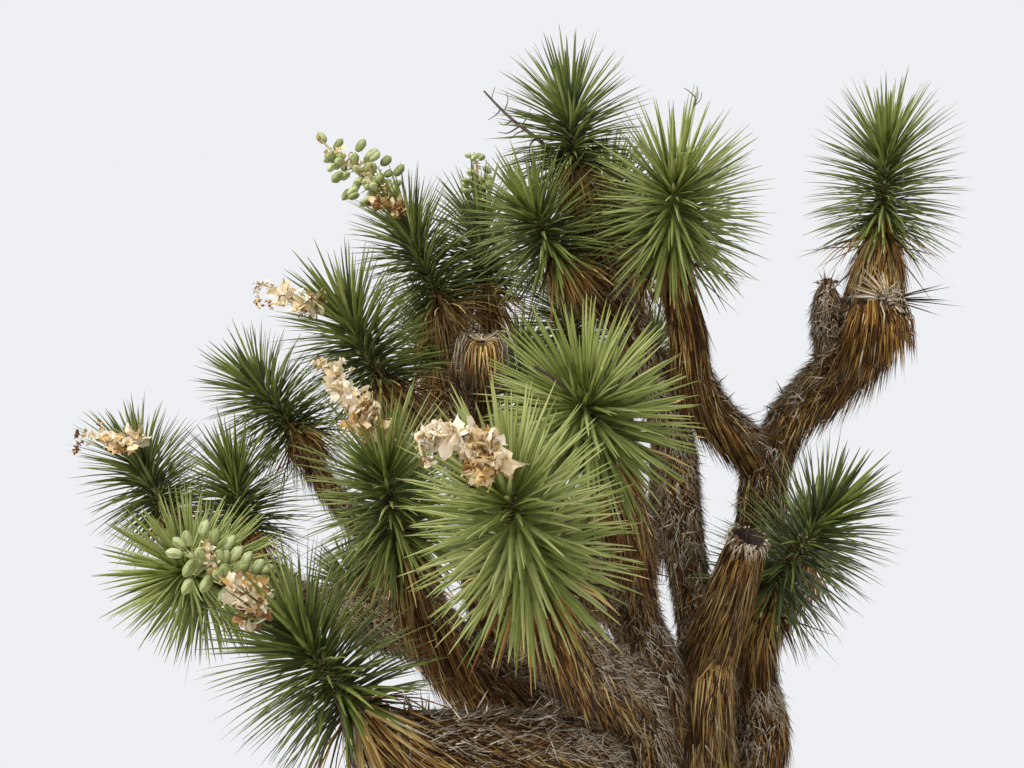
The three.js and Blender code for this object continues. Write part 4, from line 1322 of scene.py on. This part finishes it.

# %% [markdown]
# Each stalk leaves the tip of its head and follows its own line in the front view. Petals and
# bracts crowd along it, with the freshest cream at the outside and ochre near the foot. The
# ochre and golden tints are partly the bracts' own dry colour and partly painted shade on the
# cream sheets. Capsules sit where the front view shows them and point away from the stalk.

# %% Set the flower stalks
# For each lot of petals: its line in the front view, its depth, its reach off the line in points
# of the view, how many there are, their length in mm and the tints they are drawn from
FRILLS = [
    ([(138, 446), (134, 436), (118, 437), (100, 438)], (0.36, 0.42), 14, 84, (30, 66), [0, 0, 1, 1, 2]),
    ([(112, 450), (132, 447)], 0.36, 6, 30, (26, 50), [2, 3, 1]),
    ([(102, 438), (90, 434), (78, 436)], (0.42, 0.46), 6, 44, (14, 30), [0, 1, 2, 4]),
    ([(79, 440), (77, 452)], 0.46, 4, 32, (12, 22), [2, 4, 4]),
    ([(100, 430), (100, 421)], 0.42, 3, 15, (12, 18), [2, 4]),
    ([(338, 300), (322, 299), (304, 299)], (-0.24, -0.3), 9, 65, (22, 37), [2, 3, 3, 1]),
    ([(314, 300), (296, 302), (280, 291)], (-0.36, -0.32), 9, 66, (34, 66), [0, 0, 1, 1]),
    ([(280, 290), (268, 286), (258, 285)], -0.3, 5, 32, (13, 22), [0, 1, 2]),
    ([(258, 286), (256, 298), (259, 305)], -0.3, 5, 38, (10, 17), [2, 4, 1]),
    ([(268, 300), (271, 308)], -0.3, 4, 26, (10, 15), [2, 4, 1]),
    ([(298, 312), (316, 314)], (-0.24, -0.3), 6, 45, (13, 22), [1, 2, 4]),
    ([(384, 440), (374, 424), (362, 404)], (-0.68, -0.76), 17, 119, (28, 56), [0, 1, 1, 2]),
    ([(350, 424), (364, 420)], -0.76, 8, 26, (32, 51), [1, 2, 3]),
    ([(364, 408), (368, 402)], -0.76, 6, 32, (15, 22), [4, 4, 2]),
    ([(360, 404), (344, 392), (334, 374)], -0.76, 14, 94, (28, 51), [0, 0, 1]),
    ([(336, 380), (326, 368), (316, 360)], -0.76, 9, 89, (10, 20), [1, 2, 4, 0]),
    ([(334, 366), (342, 360)], -0.76, 4, 18, (17, 22), [0, 0, 1]),
    ([(350, 372), (353, 366)], -0.76, 3, 12, (10, 13), [0, 1]),
    ([(497, 472), (494, 462), (485, 452), (476, 446)], -1.6, 18, 94, (32, 60), [0, 1, 1, 2, 3]),
    ([(494, 462), (484, 470), (474, 470)], -1.6, 10, 59, (22, 37), [1, 4, 2, 3]),
    ([(492, 446), (476, 440), (460, 436), (444, 432)], -1.6, 11, 104, (30, 56), [0, 0, 0, 1]),
    ([(446, 430), (432, 431), (421, 440)], -1.6, 7, 65, (22, 37), [0, 0, 1]),
    ([(420, 441), (421, 454), (430, 463)], -1.6, 5, 50, (11, 20), [0, 1, 4]),
    ([(268, 598), (252, 594), (236, 590)], -0.86, 12, 70, (34, 66), [0, 0, 1, 3]),
    ([(262, 606), (244, 614), (258, 620)], -0.86, 8, 50, (30, 56), [4, 0, 3, 1]),
    ([(230, 584), (216, 562), (204, 548)], -0.84, 13, 90, (14, 30), [0, 1, 0, 2]),
    ([(404, 214), (392, 206), (376, 202)], 0.08, 14, 110, (24, 44), [1, 2, 3, 4]),
    ([(388, 192), (370, 176), (352, 162), (334, 152)], 0.1, 18, 150, (14, 28), [1, 0, 1, 2]),
    ([(322, 142), (318, 136)], 0.12, 4, 18, (10, 15), [2, 4]),
    ([(482, 200), (478, 180), (476, 158)], 0.3, 9, 89, (11, 22), [0, 1, 2, 2, 3]),
    ([(690, 150), (680, 160), (674, 166)], -0.5, 8, 45, (11, 20), [1, 5, 5]),
]
# For each cluster of capsules: its depth, its axis in the front view and each capsule's place
CAPSULES = {
    "low_left": (-0.8, [(240, 588), (215, 572), (196, 560)], [
        (204, 528), (177, 542), (192, 541), (178, 555), (215, 539), (228, 543), (195, 563),
        (237, 555), (227, 560), (248, 561), (255, 565), (264, 567), (241, 565), (230, 573),
        (219, 575), (183, 584), (192, 588), (193, 570), (206, 556), (208, 584),
    ]),
    "upper_left": (0.12, [(391, 204), (368, 180), (350, 165), (332, 152)], [
        (320, 133), (338, 144), (361, 147), (367, 154), (375, 158), (385, 157), (387, 168),
        (334, 159), (333, 173), (356, 165), (370, 168), (339, 182), (346, 179), (357, 185),
        (369, 176), (353, 192), (346, 193), (355, 200), (365, 200), (381, 201), (379, 183),
        (388, 189), (395, 181), (400, 176), (397, 199), (372, 155),
    ]),
    "upper_left_back": (0.3, [(478, 200), (478, 180), (475, 155)], [
        (469, 155), (477, 155), (474, 160), (482, 162), (487, 165), (488, 177), (472, 177),
        (467, 184), (465, 187),
    ]),
    "upper_right": (-0.5, [(684, 166), (686, 150)], [
        (677, 150), (690, 148), (682, 158), (676, 162), (692, 160), (686, 166),
    ]),
}
# The length of a capsule, and how many more stand behind the ones that show
CAPSULE_SIZE = {
    "low_left": (0.054, 8), "upper_left": (0.056, 26), "upper_left_back": (0.045, 6),
    "upper_right": (0.034, 4),
}


def sighted(points, depth):
    """Places at one depth, or at depths that run evenly from the first to the last."""
    depths = np.linspace(*np.atleast_1d(depth)[[0, -1]], len(points))
    return np.array([sight(*point, deep) for point, deep in zip(points, depths)])


def along(line, where):
    """Places at those spans along a line of places."""
    spans = np.arange(len(line))
    return np.stack([np.interp(where, spans, line[:, k]) for k in range(3)], axis=-1)


def frill(rng, points, depth, reach, count, lengths, tints):
    """Petals and bracts that crowd along a line, each curled its own way."""
    line = sighted(points, depth)
    where = rng.uniform(0, len(line) - 1.001, count)
    off = unit(rng.normal(0, 1, (count, 3)))
    pixel = (np.mean(depth) - EYE[1]) / FOCAL
    base = along(line, where) + off * (rng.uniform(0, 0.6, count) * reach * pixel)[:, None]
    onward = unit(along(line, where + 0.001) - along(line, where))
    start = unit(off + onward * 0.6 + rng.normal(0, 0.3, (count, 3)))
    end = unit(rng.normal(0, 1, (count, 3)) + off * 0.5 + DOWN * 0.3)
    length = rng.uniform(*lengths, count) / 1000
    width = length * rng.uniform(0.4, 0.75, count)
    facing = unit(rng.normal(0, 1, (count, 3)))
    tint, kind = rng.choice(tints, count), rng.integers(0, len(SHEETS), count)
    rows = [base, start, end, facing, length, width]
    return [
        (sheet, bowed(sheet, *[row[kind == number] for row in rows]), tint[kind == number])
        for number, sheet in enumerate(SHEETS)
    ]


def bunch(rng, depth, axis, places, size, more):
    """Capsules at their places and more behind, each on a short stalk that springs from the axis."""
    line = along(sighted(axis, depth), np.linspace(0, len(axis) - 1, 24))
    scattered = line[rng.integers(1, 22, more)]
    scattered = scattered + unit(rng.normal(0, 1, (more, 3))) * rng.uniform(0.03, 0.055, (more, 1))
    centre = sighted(places, depth)
    centre = centre + np.array([0, 1.0, 0]) * rng.uniform(-0.05, 0.05, (len(centre), 1))
    centre = np.vstack([centre, scattered])
    nearest = line[((centre[:, None] - line[None]) ** 2).sum(axis=2).argmin(axis=1)]
    count = len(centre)
    out = unit(centre - nearest + rng.normal(0, 0.012, (count, 3)) + DOWN * 0.004)
    length = size * rng.uniform(0.85, 1.15, count)
    base = centre - out * length[:, None] / 2
    up = np.tile([0.0, -1.0, 0.0], (count, 1))
    fruit = bowed(seed_capsule, base, out, out, up, length, length * rng.uniform(0.54, 0.63, count))
    reach = np.linalg.norm(base - nearest, axis=1) + 0.004
    way = unit(base - nearest)
    stalks = bowed(dry_blade, nearest, way, way, up, reach, np.full(count, 0.007))
    capsules = (seed_capsule, fruit, rng.integers(0, RIND_TINTS, count))
    return capsules, (dry_blade, stalks, np.full(count, STALK))


STALK_SEED = 9
rng = np.random.default_rng(STALK_SEED)
petals = [lot for row in FRILLS for lot in frill(rng, *row)]
fruits = []
for name, (depth, axis, places) in CAPSULES.items():
    fruit, stalks = bunch(rng, depth, axis, places, *CAPSULE_SIZE[name])
    fruits.append(fruit)
    petals.append(stalks)
settle(mesh_of_all("petals_and_bracts", petals, PETALS))
settle(mesh_of_all("seed_capsules", fruits, RINDS))

# %% [markdown]
# Stalks are round and taper, so each is a tube along a few sighted places, joined into one
# piece with the others of its kind. The dead twigs keep the forks of the stalks that once
# carried flowers.

# %% Lay the stalks and dead twigs
# For each stalk: its depth, its thickness in mm at foot and end, and its line in the view
STALKS = [
    ((0.55, 0.44), 11, 5, [(140, 466), (142, 446), (136, 436), (116, 437), (98, 436), (80, 435)]),
    ((-0.2, -0.3), 12, 5, [(350, 328), (338, 308), (322, 298), (300, 297), (278, 289), (259, 284)]),
    ((-0.61, -0.76), 14, 6, [(383, 468), (382, 444), (368, 416), (344, 388), (316, 361)]),
    ((-1.42, -1.65), 14, 5, [(505, 486), (503, 464), (486, 444), (460, 435), (434, 431), (420, 443),
                               (422, 456)]),
    ((-0.73, -0.8), 14, 5, [(298, 632), (276, 616), (250, 598), (226, 580), (200, 562), (184, 552)]),
    ((0.18, 0.12), 13, 5, [(410, 230), (400, 212), (378, 192), (356, 172), (334, 153), (322, 141),
                            (318, 132)]),
    ((0.36, 0.3), 12, 5, [(479, 226), (479, 196), (478, 174), (474, 152)]),
    ((-0.45, -0.5), 10, 4, [(674, 190), (680, 172), (687, 154), (690, 132), (694, 112), (696, 94)]),
]
TWIGS = [
    (-0.27, 16, 7, [(560, 158), (535, 137), (514, 121), (497, 105), (484, 91)]),
    (-0.27, 5, 2, [(493, 101), (492, 97), (495, 87)]),
    (-0.27, 6, 2, [(501, 108), (497, 114), (488, 120)]),
    (-0.27, 6, 2, [(513, 120), (504, 125), (499, 122)]),
    (-0.27, 7, 2, [(520, 126), (508, 133), (498, 132)]),
    (-0.27, 6, 2, [(524, 130), (516, 134), (510, 139)]),
    (-0.27, 8, 3, [(536, 138), (530, 145), (529, 157)]),
    (-0.27, 5, 2, [(505, 110), (508, 100), (506, 93)]),
    (-0.27, 5, 2, [(522, 125), (528, 116), (531, 108)]),
    (-0.5, 5, 2, [(696, 98), (690, 92), (684, 88)]),
    (-0.5, 5, 2, [(695, 104), (698, 95), (697, 86)]),
    (-0.5, 4, 2, [(694, 106), (700, 100), (702, 92)]),
    ((-1.0, -1.26), 13, 8, [(600, 414), (578, 398), (556, 380), (534, 366)]),
    (-0.76, 16, 9, [(402, 770), (376, 790), (357, 772), (347, 740), (341, 714)]),
    (-0.76, 6, 2, [(342, 716), (338, 706), (333, 698)]),
    (-0.76, 5, 2, [(342, 714), (340, 704), (341, 696)]),
    (0.15, 9, 3, [(462, 332), (472, 322), (478, 308), (476, 296)]),
]


def rods(name, table, material):
    made = []
    for number, (depth, foot_mm, end_mm, points) in enumerate(table):
        line, run = smooth_line([np.append(place, 1.0) for place in sighted(points, depth)], 4)
        thick = np.linspace(foot_mm, end_mm, len(line)) / 2000
        made.append(tube(str(number), line[:, :3], thick, 1))
    piece = join_all(name, made)
    bpy.ops.object.shade_smooth()
    finished_with(piece, material)
    settle(piece)


rods("flower_stalks", STALKS, PETALS[STALK])
TWIG = finish_of("dead twig, purple grey", "#5d4c47", 0.85, 7, 0.6)
rods("dead_twigs", TWIGS, TWIG)

# %% [markdown]
# The studio is plain: a pale floor, a pale sky all round that lights evenly like high thin
# cloud, and one broad soft light from the upper left. The camera stands at the eye that the
# places were sighted from.

# %% Floor, light and camera
FLOOR_SIZE = 60
KEY_SIZE = 5.0
KEY_WATTS = 700
KEY_AT = (-5.0, -6.0, 8.5)
KEY_TIP, KEY_SWING = math.radians(42), math.radians(-40)
FILM_WIDTH = 36.0
nothing_selected()
bpy.ops.mesh.primitive_plane_add(size=FLOOR_SIZE, location=(0, 0, 0))
floor = bpy.context.object
floor.name = "studio_floor"
floor.data.materials.append(finish_of("studio floor, pale", "#d9d6d0", 0.9, 40, 0.1))

world = bpy.data.worlds.new("studio sky")
bpy.context.scene.world = world
world.use_nodes = True
background = world.node_tree.nodes["Background"]
background.inputs["Color"].default_value = linear("#eef0f3")
background.inputs["Strength"].default_value = 1.0

bpy.ops.object.light_add(type="AREA", location=KEY_AT)
key = bpy.context.object
key.name = "soft key"
key.data.size = KEY_SIZE
key.data.energy = KEY_WATTS
key.rotation_euler = (KEY_TIP, 0, KEY_SWING)

bpy.ops.object.camera_add(location=EYE, rotation=(math.pi / 2 + TILT, 0, 0))
camera = bpy.context.object
camera.data.sensor_width = FILM_WIDTH
camera.data.lens = FOCAL / VIEW_WIDE * FILM_WIDTH
bpy.context.scene.camera = camera
# Plain sRGB shows each finish in the colour that it was given
bpy.context.scene.view_settings.view_transform = "Standard"
print("lens", round(camera.data.lens, 1), "mm")
